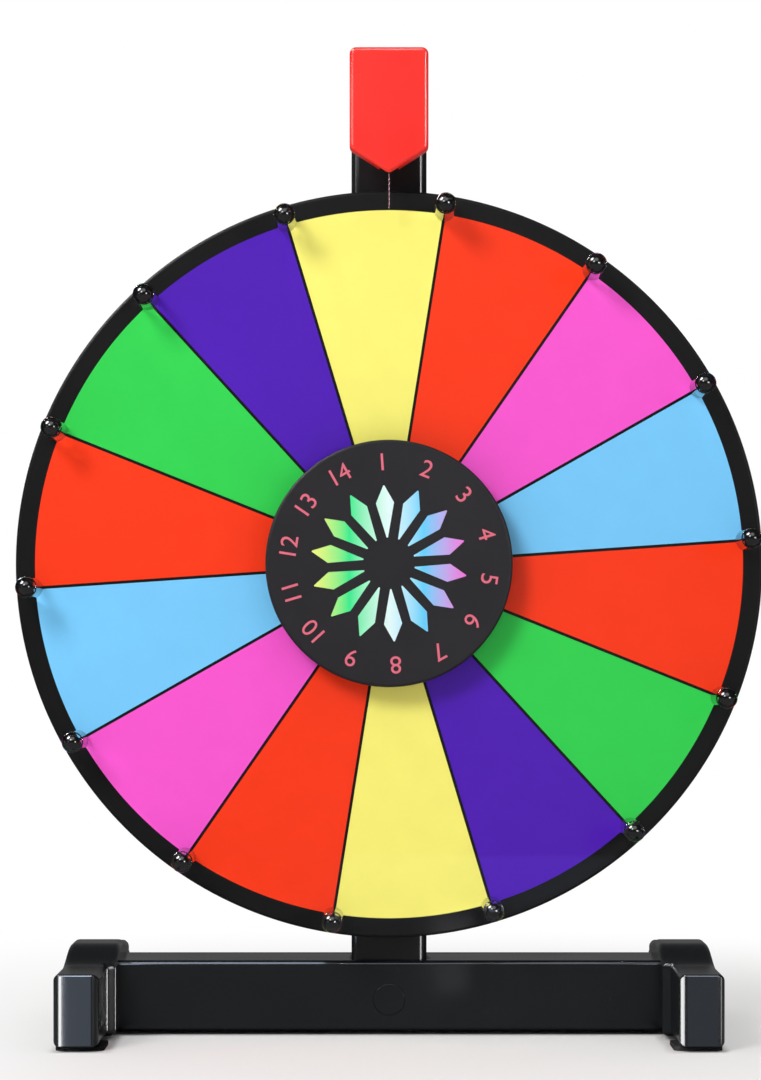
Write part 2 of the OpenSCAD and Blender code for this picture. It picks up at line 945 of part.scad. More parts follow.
// One sector of film, upright, with its sides half a line's width inside the dividing lines
module sector_outline() {
    apex = line_w / 2 / sin(pitch / 2);
    reach = wheel_d * [sin(pitch / 2), cos(pitch / 2)];
    difference() {
        intersection() {
            polygon([[0, apex], [reach.x, apex + reach.y], [-reach.x, apex + reach.y]]);
            circle(field_r);
        }
        circle(film_inner_r);
        for (side = [-1, 1])
            rotate(side * pitch / 2)
                translate([0, peg_circle_r])
                    circle(d = peg_d + 2 * fit);
    }
}

// Every sector whose place in the run of colours is in the list
module sectors(places) {
    on_axle()
        translate([0, 0, face])
            for (i = [0 : sector_count - 1])
                if (len(search(i % colour_run, places)) > 0)
                    rotate(pitch / 2 - sector_turn - i * pitch)
                        linear_extrude(film_t)
                            sector_outline();
}

module yellow_sectors() {
    color([0.99, 0.96, 0.45])
        sectors([0]);
}

module red_sectors() {
    color([1.0, 0.25, 0.09])
        sectors([1, 4]);
}

module pink_sectors() {
    color([0.96, 0.34, 0.82])
        sectors([2]);
}

module blue_sectors() {
    color([0.43, 0.75, 0.99])
        sectors([3]);
}

module green_sectors() {
    color([0.2, 0.82, 0.31])
        sectors([5]);
}

module purple_sectors() {
    color([0.34, 0.11, 0.74])
        sectors([6]);
}

module hub_flange() {
    seat_d = bearing_od + 2 * press_gap;
    color(black_metal)
        on_axle()
            difference() {
                union() {
                    translate([0, 0, housing_back])
                        cylinder(d = housing_d, h = housing_l);
                    translate([0, 0, board_back - flange_t])
                        cylinder(d = flange_d, h = flange_t);
                }
                translate([0, 0, housing_back - over])
                    cylinder(d = seat_d, h = bearing_w + over);
                translate([0, 0, housing_front - bearing_w])
                    cylinder(d = seat_d, h = bearing_w + over);
                cylinder(r = outer_land_r + land_clear, h = 2 * face);
                at_hub_screws()
                    cylinder(d = hub_screw_d + 2 * fit, h = 2 * face);
            }
}

module hub_screws() {
    l = flange_t + board_t + hub_screw_grip;
    color(black_metal)
        on_axle()
            at_hub_screws()
                translate([0, 0, board_back - flange_t])
                    rotate([180, 0, 0])
                        socket_screw(hub_screw_d, l, hub_screw_d * head_ratio, hub_head_h);
}

module hub_drum() {
    color(black_plastic)
        on_axle()
            difference() {
                translate([0, 0, face])
                    cylinder(d = drum_d, h = cover_inside - face);
                translate([0, 0, face + drum_base_t])
                    cylinder(d = drum_d - 2 * drum_wall, h = cover_inside);
                cylinder(d = housing_d + 2 * fit, h = 2 * face);
                at_hub_screws()
                    cylinder(d = hub_screw_d + 2 * press_gap, h = face + hub_screw_grip + hub_tip_gap);
            }
}

module hub_cover() {
    r = cover_edge_r;
    spigot_r = drum_d / 2 - drum_wall - fit;
    color(black_plastic)
        on_axle() {
            translate([0, 0, cover_front - cover_edge_h])
                rotate_extrude()
                    difference() {
                        union() {
                            square([cover_d / 2, cover_edge_h - r]);
                            square([cover_d / 2 - r, cover_edge_h]);
                            translate([cover_d / 2 - r, cover_edge_h - r])
                                circle(r);
                        }
                        translate([-over, -over])
                            square([cover_d / 2 - cover_wall + over, cover_edge_h - cover_wall + over]);
                    }
            tube(
                2 * spigot_r,
                2 * (spigot_r - cover_wall),
                cover_inside - cover_spigot_l,
                cover_inside + weld
            );
        }
}

// Pegs

module peg_posts() {
    color(clear_plastic)
        on_axle()
            at_pegs()
                difference() {
                    union() {
                        translate([0, 0, face])
                            cylinder(d = peg_d, h = peg_l - peg_bevel);
                        translate([0, 0, face + peg_l - peg_bevel])
                            cylinder(d1 = peg_d, d2 = peg_d - 2 * peg_bevel, h = peg_bevel);
                        translate([0, 0, board_back - stem_rear])
                            cylinder(d = stem_d, h = board_t + stem_rear + over);
                    }
                    translate([0, 0, face + peg_l - cap_shank_l - cap_tip_gap])
                        cylinder(d = cap_shank_d + 2 * press_gap, h = cap_shank_l + cap_tip_gap + over);
                }
}

module peg_caps() {
    color(black_plastic)
        on_axle()
            at_pegs()
                translate([0, 0, face + peg_l]) {
                    cylinder(d = cap_d, h = cap_rim_h);
                    translate([0, 0, cap_rim_h])
                        dome(cap_d, cap_h - cap_rim_h);
                    translate([0, 0, -cap_shank_l])
                        cylinder(d = cap_shank_d, h = cap_shank_l + cap_rim_h);
                }
}

module peg_clips() {
    color(black_metal)
        on_axle()
            at_pegs()
                translate([0, 0, board_back])
                    rotate([180, 0, 0])
                        difference() {
                            union() {
                                cylinder(d = clip_d, h = clip_flange_t);
                                dome(clip_d - 2 * clip_brim, clip_h);
                            }
                            translate([0, 0, -over])
                                cylinder(d = stem_d + 2 * press_gap, h = stem_rear + over);
                        }
}

left_foot();
right_foot();
foot_pads();
foot_screws();
crossbar();
crossbar_plug();
post();
post_bolt();
post_washer();
post_nut();
pointer_arm();
arm_screw();
pointer();
pointer_screws();
needle_screw();
needle();
axle();
axle_sleeve();
axle_collar();
axle_washers();
axle_nut();
bearing_inner_rings();
bearing_spacer();
bearing_outer_rings();
bearing_balls();
bearing_cages();
wheel_board();
yellow_sectors();
red_sectors();
pink_sectors();
blue_sectors();
green_sectors();
purple_sectors();
hub_flange();
hub_screws();
hub_drum();
hub_cover();
peg_posts();
peg_caps();
peg_clips();
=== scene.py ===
"""Tabletop prize wheel: its finished pieces, their materials, the light and the camera.

The solid parts are loaded as a fixed frame. Each surface here is worked out as numpy arrays, in
metres, with +X to the right, +Y to the back and +Z up. "In front" is a distance along -Y, measured
from the middle of the post.
"""

import json
import math

import bmesh
import bpy
import numpy as np
from bpy.props import FloatProperty, FloatVectorProperty, IntProperty, PointerProperty
from bpy.types import Operator, Panel, PropertyGroup
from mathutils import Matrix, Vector


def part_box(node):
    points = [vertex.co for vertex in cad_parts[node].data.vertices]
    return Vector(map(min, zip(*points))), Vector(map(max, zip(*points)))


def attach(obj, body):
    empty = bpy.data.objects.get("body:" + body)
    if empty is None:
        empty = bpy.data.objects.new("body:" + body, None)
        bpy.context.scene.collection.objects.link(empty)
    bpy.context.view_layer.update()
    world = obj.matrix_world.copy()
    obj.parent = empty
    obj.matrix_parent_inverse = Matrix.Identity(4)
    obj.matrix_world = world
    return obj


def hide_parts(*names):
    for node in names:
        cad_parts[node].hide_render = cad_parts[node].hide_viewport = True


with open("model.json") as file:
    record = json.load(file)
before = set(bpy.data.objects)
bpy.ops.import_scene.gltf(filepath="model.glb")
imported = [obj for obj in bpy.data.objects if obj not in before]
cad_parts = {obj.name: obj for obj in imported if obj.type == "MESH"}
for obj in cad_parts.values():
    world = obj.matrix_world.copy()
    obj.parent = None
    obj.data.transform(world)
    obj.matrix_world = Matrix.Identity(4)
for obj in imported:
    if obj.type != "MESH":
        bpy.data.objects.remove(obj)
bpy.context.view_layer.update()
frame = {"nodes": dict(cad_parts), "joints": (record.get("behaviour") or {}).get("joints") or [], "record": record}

bl_info = {
    "name": "Prize wheel dresser",
    "version": (1, 0, 0),
    "blender": (4, 5, 0),
    "location": "3D View > Sidebar > Prize wheel",
    "description": "Builds the finished pieces of a tabletop prize wheel round its solid parts",
    "category": "Mesh",
}

MM = 0.001

# Steps of a rounded edge, and of a full turn on large, small and thin pieces
ARC_STEPS = 8
TURN_STEPS = 256
SMALL_TURN_STEPS = 64
WIRE_TURN_STEPS = 24

# Points closer than this are one point, on a new mesh and on a copy of a solid
WELD = 1e-7
COPY_WELD = 2e-6

# Edges that bend more than the first stay sharp. Faces that bend less than the second are one face.
SHARP_ANGLE = math.radians(34)
FLAT_ANGLE = math.radians(0.3)

# Segments of a broken edge
BEVEL_SEGMENTS = 2


# Places read from the frame


def front(node):
    """Distance of a node's front from the middle of the post."""
    return -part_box(node)[0].y


def back(node):
    """Distance of a node's back from the middle of the post."""
    return -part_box(node)[1].y


RECORD = frame["record"]
BODY_OF = {node: body for body, nodes in RECORD["behaviour"]["bodies"].items() for node in nodes}
SLOT_OF = {part["node"]: part["material_slot"] for part in RECORD["subparts"]}
JOINT_PLACE = {joint["name"]: Vector(joint["pos_m"]) for joint in frame["joints"]}

AXLE_Z = JOINT_PLACE["wheel_spin"].z
WHEEL_R = (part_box("wheel_board")[1].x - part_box("wheel_board")[0].x) / 2
FACE = front("wheel_board")
BOARD_BACK = back("wheel_board")
COVER_R = (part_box("hub_cover")[1].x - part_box("hub_cover")[0].x) / 2
COVER_FRONT = front("hub_cover")
BAR_HALF_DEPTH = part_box("crossbar")[1].y
BAR_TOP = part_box("crossbar")[1].z


# Sizes and colours that a user would change


def srgb(red, green, blue):
    """Linear colour of a display colour given from 0 to 255."""
    shown = np.array([red, green, blue]) / 255
    return tuple(np.where(shown <= 0.04045, shown / 12.92, ((shown + 0.055) / 1.055) ** 2.4))


def amount(name, description, default, **options):
    """Property that holds a number."""
    return FloatProperty(name=name, description=description, default=default, **options)


def length(name, description, default):
    """Property that holds a length in metres."""
    return amount(name, description, default, min=0, precision=4, subtype="DISTANCE", unit="LENGTH")


def colour(name, description, default):
    """Property that holds a linear colour."""
    return FloatVectorProperty(
        name=name, description=description, default=default, min=0, max=1, size=3, subtype="COLOR"
    )


class WheelSizes(PropertyGroup):
    """Board and coloured film."""

    sector_count: IntProperty(name="Sectors", description="Number of coloured sectors", default=14, min=7)
    sector_turn: amount(
        "Turn",
        "Angle of the first dividing line, clockwise from the top",
        math.radians(9),
        subtype="ANGLE",
        unit="ROTATION",
    )
    bore: length("Bore", "Radius of the hole in the board's middle", 20.2 * MM)
    edge_radius: length("Edge", "Radius on the board's edges", 2 * MM)
    rim_width: length("Rim", "Width of the black rim outside the colours", 12 * MM)
    line_width: length("Line", "Width of the black line between two sectors", 1.8 * MM)
    film_inner: length("Film bore", "Radius where the film starts, under the hub", 58 * MM)
    yellow: colour("Yellow", "Colour of the yellow film", srgb(253, 246, 120))
    red: colour("Red", "Colour of the red film", srgb(253, 54, 6))
    pink: colour("Pink", "Colour of the pink film", srgb(250, 86, 210))
    blue: colour("Blue", "Colour of the blue film", srgb(120, 204, 254))
    green: colour("Green", "Colour of the green film", srgb(46, 212, 80))
    purple: colour("Purple", "Colour of the purple film", srgb(77, 15, 182))


class HubSizes(PropertyGroup):
    """Round cover in the wheel's middle, and the print on it."""

    edge_radius: length("Edge", "Radius on the cover's front edge", 2 * MM)
    edge_depth: length("Edge depth", "Depth of the cover's edge", 6 * MM)
    wall: length("Wall", "Wall of the cover", 2.5 * MM)
    print_height: length("Print", "How far the print stands proud", 0.08 * MM)
    numeral_size: length("Numerals", "Size of the numerals", 15 * MM)
    numeral_ring: length("Numeral ring", "Radius of the ring of numerals", 61 * MM)
    lozenge_inner: length("Lozenge from", "Radius where the lozenges start", 14 * MM)
    lozenge_outer: length("Lozenge to", "Radius where the lozenges end", 48 * MM)
    lozenge_width: length("Lozenge width", "Width of a lozenge", 11 * MM)
    print_pink: colour("Print", "Colour of the numerals", srgb(228, 110, 132))


class PegSizes(PropertyGroup):
    """Clear pegs and their caps."""

    diameter: length("Peg", "Diameter of a peg", 13 * MM)
    inset: length("Inset", "Distance from the board's rim to the middle of a peg", 10 * MM)
    edge_radius: length("Edge", "Radius on the peg's front edge", 0.8 * MM)
    stem: length("Stem", "Diameter of the stem through the board", 6 * MM)
    cap: length("Cap", "Diameter of a cap", 9.5 * MM)
    cap_rim: length("Cap rim", "Height of the cap's straight rim", 0.8 * MM)
    shank: length("Shank", "Diameter of the cap's shank", 4 * MM)
    shank_length: length("Shank length", "Length of the cap's shank", 8 * MM)


class PointerSizes(PropertyGroup):
    """Red pointer and its needle."""

    vee: length("Vee", "Height of the pointer's vee", 15 * MM)
    corner_radius: length("Corners", "Radius on the pointer's corners", 4 * MM)
    edge_radius: length("Edge", "Radius on the pointer's front edge", 2.5 * MM)
    front_wall: length("Front wall", "Wall behind the pointer's face", 3 * MM)
    side_wall: length("Side wall", "Wall of the pointer's sides", 3 * MM)
    slot: length("Slot", "Width of the slot that the needle swings in", 12 * MM)
    boss: length("Boss", "Diameter of the screw bosses", 9 * MM)
    wire: length("Wire", "Diameter of the twisted wire", 1.2 * MM)
    eye: length("Eye", "Radius of the needle's eye, to the middle of the wire", 1.6 * MM)
    twist: length("Twist", "Length of one full twist of the wire", 6 * MM)
    red: colour("Red", "Colour of the pointer", srgb(253, 43, 35))


class StandSizes(PropertyGroup):
    """Post and moulded feet."""

    post_corner: length("Post corner", "Radius on the post's corners", 5 * MM)
    post_wall: length("Post wall", "Wall of the post", 2.5 * MM)
    toe_width: length("Toe", "Width of a toe", 27 * MM)
    toe_height: length("Toe height", "Height of a toe above the table", BAR_TOP)
    collar_out: length("Collar", "How much wider the collar is than the toe", 5 * MM)
    collar_wall: length("Collar wall", "Length of the collar beyond the crossbar", 24.5 * MM)
    shoulder: length("Shoulder", "Length of the shoulder from the collar to a toe's inner side", 3 * MM)
    crest: length("Crest", "Length of the crest on top of a foot", 20 * MM)
    slope: length("Slope", "Length of the slope from the crest down to a toe", 56 * MM)
    foot_edge: length("Foot edge", "Radius on the feet's long edges", 4 * MM)
    toe_corner: length("Toe corner", "Radius on the upright edges of toe and heel", 5 * MM)
    toe_edge: length("Toe edge", "Radius on the level edges of toe and heel", 1.5 * MM)
    end_corner: length("End corner", "Radius left on the corners of toe and heel", 0.5 * MM)
    foot_wall: length("Foot wall", "Wall of the moulded feet", 4 * MM)
    screw_hole: length("Screw hole", "Diameter of the counterbore over a foot screw", 8.9 * MM)
    plastic: colour("Plastic", "Colour of the moulded plastic", srgb(15, 17, 20))


class StageSettings(PropertyGroup):
    """Camera and light."""

    camera_distance: length("Distance", "Distance of the camera in front of the post", 2.045)
    camera_height: length("Height", "Height of the camera above the table", 0.2406)
    lens: amount("Lens", "Focal length in millimetres", 109.0, min=1)
    shift_x: amount("Shift X", "Sideways shift of the picture", -0.0079)
    shift_y: amount("Shift Y", "Upward shift of the picture", 0.0972)
    ambient: amount("Ambient", "Strength of the light from all round", 0.55)
    key: amount("Key", "Power of the softbox at the upper left", 28, unit="POWER")
    gloss: amount("Gloss", "Brightness of the lights that only gloss shows", 1.0)
    floor: colour("Floor", "Colour of the floor", srgb(246, 243, 241))


class PrizeWheel(PropertyGroup):
    """All settings of the prize wheel."""

    wheel: PointerProperty(type=WheelSizes)
    hub: PointerProperty(type=HubSizes)
    pegs: PointerProperty(type=PegSizes)
    pointer: PointerProperty(type=PointerSizes)
    stand: PointerProperty(type=StandSizes)
    stage: PointerProperty(type=StageSettings)


def settings():
    """The settings of the scene that is open."""
    return bpy.context.scene.prize_wheel


# Shader expressions


class Value:
    """A socket in a node tree. Python's operators on it add Math nodes."""

    def __init__(self, sheet, socket):
        self.sheet = sheet
        self.socket = socket

    def math(self, operation, first, second):
        return self.sheet.node("ShaderNodeMath", {"operation": operation}, {0: first, 1: second})

    def __add__(self, other):
        return self.math("ADD", self, other)

    def __sub__(self, other):
        return self.math("SUBTRACT", self, other)

    def __rsub__(self, other):
        return self.math("SUBTRACT", other, self)

    def __mul__(self, other):
        return self.math("MULTIPLY", self, other)

    def __truediv__(self, other):
        return self.math("DIVIDE", self, other)

    def __rtruediv__(self, other):
        return self.math("DIVIDE", other, self)

    __radd__ = __add__
    __rmul__ = __mul__


class Sheet:
    """A node tree that expressions are written on."""

    def __init__(self, tree):
        self.tree = tree
        tree.nodes.clear()

    def feed(self, socket, value):
        """Links a Value to a socket, or sets a plain number or colour on it."""
        if isinstance(value, Value):
            self.tree.links.new(value.socket, socket)
        else:
            socket.default_value = value

    def node(self, kind, options=None, inputs=None, output=0):
        """Adds a node, sets its options first and then its inputs. Returns one of its outputs."""
        made = self.tree.nodes.new(kind)
        for name, option in (options or {}).items():
            if name == "stops":
                set_stops(made.color_ramp, option)
            else:
                setattr(made, name, option)
        for name, value in (inputs or {}).items():
            self.feed(made.inputs[name], value)
        return Value(self, made.outputs[output]) if made.outputs else None

    def place(self):
        """The point on the piece, in metres."""
        return self.node("ShaderNodeTexCoord", output="Object")

    def along(self, vector, axis):
        """One coordinate of a vector: X, Y or Z."""
        return self.node("ShaderNodeSeparateXYZ", inputs={"Vector": vector}, output=axis)

    def noise(self, scale, detail, place=None):
        """Even noise from 0 to 1, with about scale blobs a metre."""
        inputs = {"Vector": place or self.place(), "Scale": scale, "Detail": detail}
        return self.node("ShaderNodeTexNoise", inputs=inputs)

    def ease(self, value, start, end, low=0.0, high=1.0):
        """Goes smoothly from low to high while the value goes from start to end."""
        return self.node(
            "ShaderNodeMapRange",
            {"interpolation_type": "SMOOTHSTEP"},
            {"Value": value, "From Min": start, "From Max": end, "To Min": low, "To Max": high},
        )

    def mix(self, factor, first, second):
        """Colour between two colours."""
        ends = {0: factor, 6: opaque(first), 7: opaque(second)}
        return self.node("ShaderNodeMix", {"data_type": "RGBA"}, ends, output=2)

    def bump(self, height, distance):
        """Normal of a surface that a height from 0 to 1 raises by a distance."""
        return self.node("ShaderNodeBump", inputs={"Distance": distance, "Height": height})


def set_stops(ramp, stops):
    """Gives a colour ramp its stops, each a place and a colour."""
    while len(ramp.elements) > 1:
        ramp.elements.remove(ramp.elements[-1])
    for number, (place, shade) in enumerate(stops):
        stop = ramp.elements.new(place) if number else ramp.elements[0]
        stop.position = place
        stop.color = opaque(shade)


def opaque(shade):
    """A plain colour with full alpha. A Value stays as it is."""
    return shade if isinstance(shade, Value) else (*shade[:3], 1.0)


def new_finish(name):
    """An empty material and the sheet that its shader is written on."""
    material = bpy.data.materials.new(f"{name}_finish")
    material.use_nodes = True
    return material, Sheet(material.node_tree)


def principled(sheet, **sockets):
    """Ends a sheet with a Principled shader. Socket names are written with underscores."""
    names = {name.replace("_", " "): value for name, value in sockets.items()}
    shader = sheet.node("ShaderNodeBsdfPrincipled", inputs=names)
    sheet.node("ShaderNodeOutputMaterial", inputs={"Surface": shader})


# Finishes

# Noise in the finishes: blobs a metre and detail
CLOUD = (22.0, 3.0)
GRAIN = (1500.0, 3.0)
MOTTLE = (60.0, 4.0)
ORANGE_PEEL = (420.0, 2.0)
STAIN = (140.0, 3.0)
RED_CLOUD = (30.0, 3.0)
RED_GRAIN = (900.0, 2.0)
POLISH = (260.0, 3.0)

# Detail of the marks on metal, and how far they are drawn out
MARK_DETAIL = 3.0
MARK_STRETCH = (1.0, 0.06, 1.0)


def toned(shade, factor):
    """A colour made lighter or darker by a factor."""
    return tuple(factor * part for part in shade)


def black_plastic(name, shade, roughness, grain, sheen):
    """Black plastic: a faint cloud in gloss and tone, and a fine moulded grain."""
    material, sheet = new_finish(name)
    cloud = sheet.noise(*CLOUD)
    fine = sheet.noise(*GRAIN)
    principled(
        sheet,
        Base_Color=sheet.mix(cloud, shade, toned(shade, 1.6)),
        Roughness=roughness + 0.10 * (cloud - 0.5) + 0.04 * (fine - 0.5),
        Specular_IOR_Level=sheen,
        IOR=1.5,
        Normal=sheet.bump(fine, grain),
    )
    return material


def printed_film(name, shade):
    """Printed film under a clear laminate: even colour, a soft mottle and a slight orange-peel."""
    material, sheet = new_finish(name)
    mottle = sheet.noise(*MOTTLE)
    peel = sheet.noise(*ORANGE_PEEL)
    principled(
        sheet,
        Base_Color=sheet.mix(mottle, toned(shade, 0.93), shade),
        Roughness=0.40 + 0.12 * mottle,
        Specular_IOR_Level=0.2,
        IOR=1.46,
        Normal=sheet.bump(peel, 0.02 * MM),
    )
    return material


def metal(name, shade, roughness, scratch_scale):
    """Metal with turned or rolled marks: noise stretched along one way sets gloss and relief."""
    material, sheet = new_finish(name)
    stretched = sheet.node("ShaderNodeMapping", inputs={"Vector": sheet.place(), "Scale": MARK_STRETCH})
    marks = sheet.noise(scratch_scale, MARK_DETAIL, stretched)
    stain = sheet.noise(*STAIN)
    principled(
        sheet,
        Base_Color=sheet.mix(stain, toned(shade, 0.72), shade),
        Metallic=1.0,
        Roughness=roughness + 0.22 * (marks - 0.5) + 0.10 * (stain - 0.5),
        Normal=sheet.bump(marks, 0.01 * MM),
    )
    return material


def moulded_black():
    """Plastic of feet, crossbar and fittings, in the colour that is set for it."""
    return black_plastic("moulded_black", settings().stand.plastic, 0.20, 0.008 * MM, 0.3)


def pointer_red():
    """Glossy red plastic with a faint cloud and a clear skin."""
    material, sheet = new_finish("pointer_red")
    shade = settings().pointer.red
    cloud = sheet.noise(*RED_CLOUD)
    fine = sheet.noise(*RED_GRAIN)
    principled(
        sheet,
        Base_Color=sheet.mix(cloud, toned(shade, 0.94), shade),
        Roughness=0.26 + 0.08 * (cloud - 0.5),
        IOR=1.5,
        Normal=sheet.bump(fine, 0.006 * MM),
    )
    return material


def clear_peg():
    """Clear plastic with a trace of blue and very fine polishing marks."""
    material, sheet = new_finish("clear_peg")
    marks = sheet.noise(*POLISH)
    principled(
        sheet,
        Base_Color=(0.97, 0.985, 0.99, 1.0),
        Roughness=0.015 + 0.03 * marks,
        IOR=1.49,
        Transmission_Weight=1.0,
        Normal=sheet.bump(marks, 0.004 * MM),
    )
    return material


def print_pink():
    """Print of the numerals, in the colour that is set for it."""
    return printed_film("print_pink", settings().hub.print_pink)


# Colours of the rainbow print from left to right, each with its share of the way
RAINBOW = [
    (0.0, srgb(246, 246, 120)),
    (0.25, srgb(24, 232, 136)),
    (0.5, srgb(226, 250, 250)),
    (0.72, srgb(92, 206, 250)),
    (1.0, srgb(248, 96, 214)),
]


def print_rainbow():
    """Print that runs from yellow over green, pale cyan and sky blue to pink across the hub."""
    material, sheet = new_finish("print_rainbow")
    reach = settings().hub.lozenge_outer
    across = sheet.along(sheet.place(), "X") / (2 * reach) + 0.5
    shade = sheet.node("ShaderNodeValToRGB", {"stops": RAINBOW}, {"Fac": across})
    mottle = sheet.noise(*MOTTLE)
    principled(sheet, Base_Color=shade, Roughness=0.36 + 0.12 * mottle, IOR=1.46)
    return material


# Other black finishes: colour, roughness, depth of the grain and sheen
BLACKS = {
    "board_black": (srgb(15, 15, 16), 0.42, 0.03 * MM, 0.1),
    "hub_black": (srgb(33, 32, 35), 0.48, 0.02 * MM, 0.1),
    "cap_black": (srgb(12, 12, 14), 0.10, 0.002 * MM, 0.5),
    "post_enamel": (srgb(28, 28, 29), 0.18, 0.006 * MM, 0.2),
    "pad_rubber": (srgb(12, 12, 12), 0.72, 0.05 * MM, 0.1),
    "hub_housing": (srgb(22, 22, 24), 0.5, 0.04 * MM, 0.25),
}

# Metals: colour, roughness and marks a metre
METALS = {
    "black_screws": (srgb(62, 62, 66), 0.38, 2600.0),
    "zinc_steel": (srgb(196, 198, 202), 0.32, 2200.0),
    "bearing_steel": (srgb(212, 212, 214), 0.16, 3000.0),
    # The needle wire is steel grey with a pink tint. The grey is the steel's own colour; the pink tint is a
    # painted reflection of the red pointer.
    "needle_wire": (srgb(132, 106, 111), 0.24, 4000.0),
}

SINGLE_FINISHES = [moulded_black, pointer_red, clear_peg, print_pink, print_rainbow]
FILM = "film_"


def finish(name):
    """The material of that name, made when it is first asked for."""
    made = bpy.data.materials.get(f"{name}_finish")
    if made:
        return made
    if name in BLACKS:
        return black_plastic(name, *BLACKS[name])
    if name in METALS:
        return metal(name, *METALS[name])
    if name.startswith(FILM):
        return printed_film(name, getattr(settings().wheel, name.removeprefix(FILM)))
    makers = {maker.__name__: maker for maker in SINGLE_FINISHES}
    return makers[name]()


# Surfaces


def unit(vectors):
    """Vectors of length 1."""
    return vectors / np.linalg.norm(vectors, axis=-1, keepdims=True)


def points_of(*coordinates):
    """Points of three coordinates, each an array or a number, spread over one grid."""
    return np.stack(np.broadcast_arrays(*coordinates), -1)


def full_turn(steps):
    """Angles of a full turn."""
    return np.linspace(0, 2 * np.pi, steps, endpoint=False)


def corner_arcs(corners, radii):
    """Arc centres and outward directions of an outline with round corners, and its radii.

    before and after point from a corner to its neighbours. The arc's centre lies on their bisector,
    r / sin(half the angle between them) from the corner, and the arc turns the short way from the
    foot of the centre on one side to its foot on the other. A point of the outline is
    centre + r * direction.
    """
    corners = np.asarray(corners, float)
    radii = np.broadcast_to(np.asarray(radii, float), len(corners))[:, None]
    before = unit(np.roll(corners, 1, 0) - corners)
    after = unit(np.roll(corners, -1, 0) - corners)
    half = np.arccos(np.clip((before * after).sum(1, keepdims=True), -1, 1)) / 2
    inward = unit(before + after)
    centre = corners + inward * radii / np.sin(half)
    first = before * np.cos(half) - inward
    last = after * np.cos(half) - inward
    start = np.arctan2(first[:, 1], first[:, 0])
    turn = np.arctan2(last[:, 1], last[:, 0]) - start
    turn = (turn + np.pi) % (2 * np.pi) - np.pi
    share = np.linspace(0, 1, ARC_STEPS + 1)
    angle = start[:, None] + turn[:, None] * share
    direction = np.stack([np.cos(angle), np.sin(angle)], -1)
    return np.repeat(centre, len(share), 0), direction.reshape(-1, 2), np.repeat(radii, len(share), 0)


def rounded(corners, radii):
    """Outline through corners, each with its own radius."""
    centre, direction, radius = corner_arcs(corners, radii)
    return centre + radius * direction


def revolve(profile, steps=TURN_STEPS):
    """Profile of (radius, in front) pairs carried round: (r cos a, r sin a, f) for a full turn of a."""
    angle = full_turn(steps)
    radius, ahead = np.asarray(profile).T[..., None]
    return points_of(radius * np.cos(angle), radius * np.sin(angle), ahead)


def carried(*rows):
    """Outlines carried through space: each row is an outline with its place along the third axis."""
    return np.stack([np.insert(outline, 2, place, axis=1) for outline, place in rows])


def facing(points, z=AXLE_Z):
    """Turns (right, up, in front) points to the frame's axes, about a height z on its middle line."""
    right, up, ahead = np.moveaxis(points, -1, 0)
    return np.stack([right, -ahead, up + z], -1)


def around(points, angles, radius=0.0):
    """Copies of (right, up, in front) points, moved out by a radius and turned clockwise by each angle."""
    right, up, ahead = np.moveaxis(points, -1, 0)
    angles = np.asarray(angles).reshape(-1, *[1] * right.ndim)
    out = up + radius
    turned_right = right * np.cos(angles) + out * np.sin(angles)
    turned_up = out * np.cos(angles) - right * np.sin(angles)
    return points_of(turned_right, turned_up, ahead)


def grid_mesh(name, points, closed=False, capped=False):
    """Mesh over grids of points, shaped (copies, rows, columns, 3).

    Each row runs round and closes on itself. closed also joins the last row to the first, and
    capped fills the first and the last row with a flat face.
    """
    points = points.reshape(-1, *points.shape[-3:])
    copies, rows, columns, _ = points.shape
    row = np.arange(rows if closed else rows - 1)[:, None]
    column = np.arange(columns)[None, :]
    right = (column + 1) % columns
    below = row * columns
    above = (row + 1) % rows * columns
    corners = [below + column, below + right, above + right, above + column]
    quads = np.stack(corners, -1).reshape(-1, 4)
    start = np.arange(copies)[:, None, None] * rows * columns
    faces = (quads + start).reshape(-1, 4).tolist()
    if capped:
        ends = np.concatenate([column[:, ::-1], (rows - 1) * columns + column])
        faces += (ends + start).reshape(-1, columns).tolist()
    return solid_mesh(name, points.reshape(-1, 3), faces)


def solid_mesh(name, points, faces):
    """Mesh with its doubles merged, its faces outwards, and smooth but for its sharp edges."""
    mesh = bpy.data.meshes.new(name)
    mesh.from_pydata(points, [], faces)
    shape = bmesh.new()
    shape.from_mesh(mesh)
    bmesh.ops.remove_doubles(shape, verts=shape.verts, dist=WELD)
    bmesh.ops.dissolve_degenerate(shape, dist=WELD, edges=shape.edges)
    bmesh.ops.recalc_face_normals(shape, faces=shape.faces)
    shape.to_mesh(mesh)
    shape.free()
    return smooth(mesh)


def smooth(mesh):
    """Shades a mesh smooth, with its sharp edges kept."""
    mesh.shade_smooth()
    mesh.set_sharp_from_angle(angle=SHARP_ANGLE)
    return mesh


def smooth_copy(node, flatten=False):
    """A node's own solid with its loose triangles merged, so that its round faces shade smoothly."""
    shape = bmesh.new()
    shape.from_mesh(frame["nodes"][node].data)
    bmesh.ops.remove_doubles(shape, verts=shape.verts, dist=COPY_WELD)
    if flatten:
        bmesh.ops.dissolve_limit(shape, angle_limit=FLAT_ANGLE, verts=shape.verts, edges=shape.edges)
    mesh = bpy.data.meshes.new(node)
    shape.to_mesh(mesh)
    shape.free()
    return smooth(mesh)


def joined(name, *meshes):
    """One mesh of several."""
    shape = bmesh.new()
    for mesh in meshes:
        shape.from_mesh(mesh)
        bpy.data.meshes.remove(mesh)
    whole = bpy.data.meshes.new(name)
    shape.to_mesh(whole)
    shape.free()
    return smooth(whole)


def put(name, data):
    """Puts a mesh, a curve, a lamp or a camera into the scene. Returns its object."""
    thing = bpy.data.objects.new(name, data)
    bpy.context.scene.collection.objects.link(thing)
    return thing


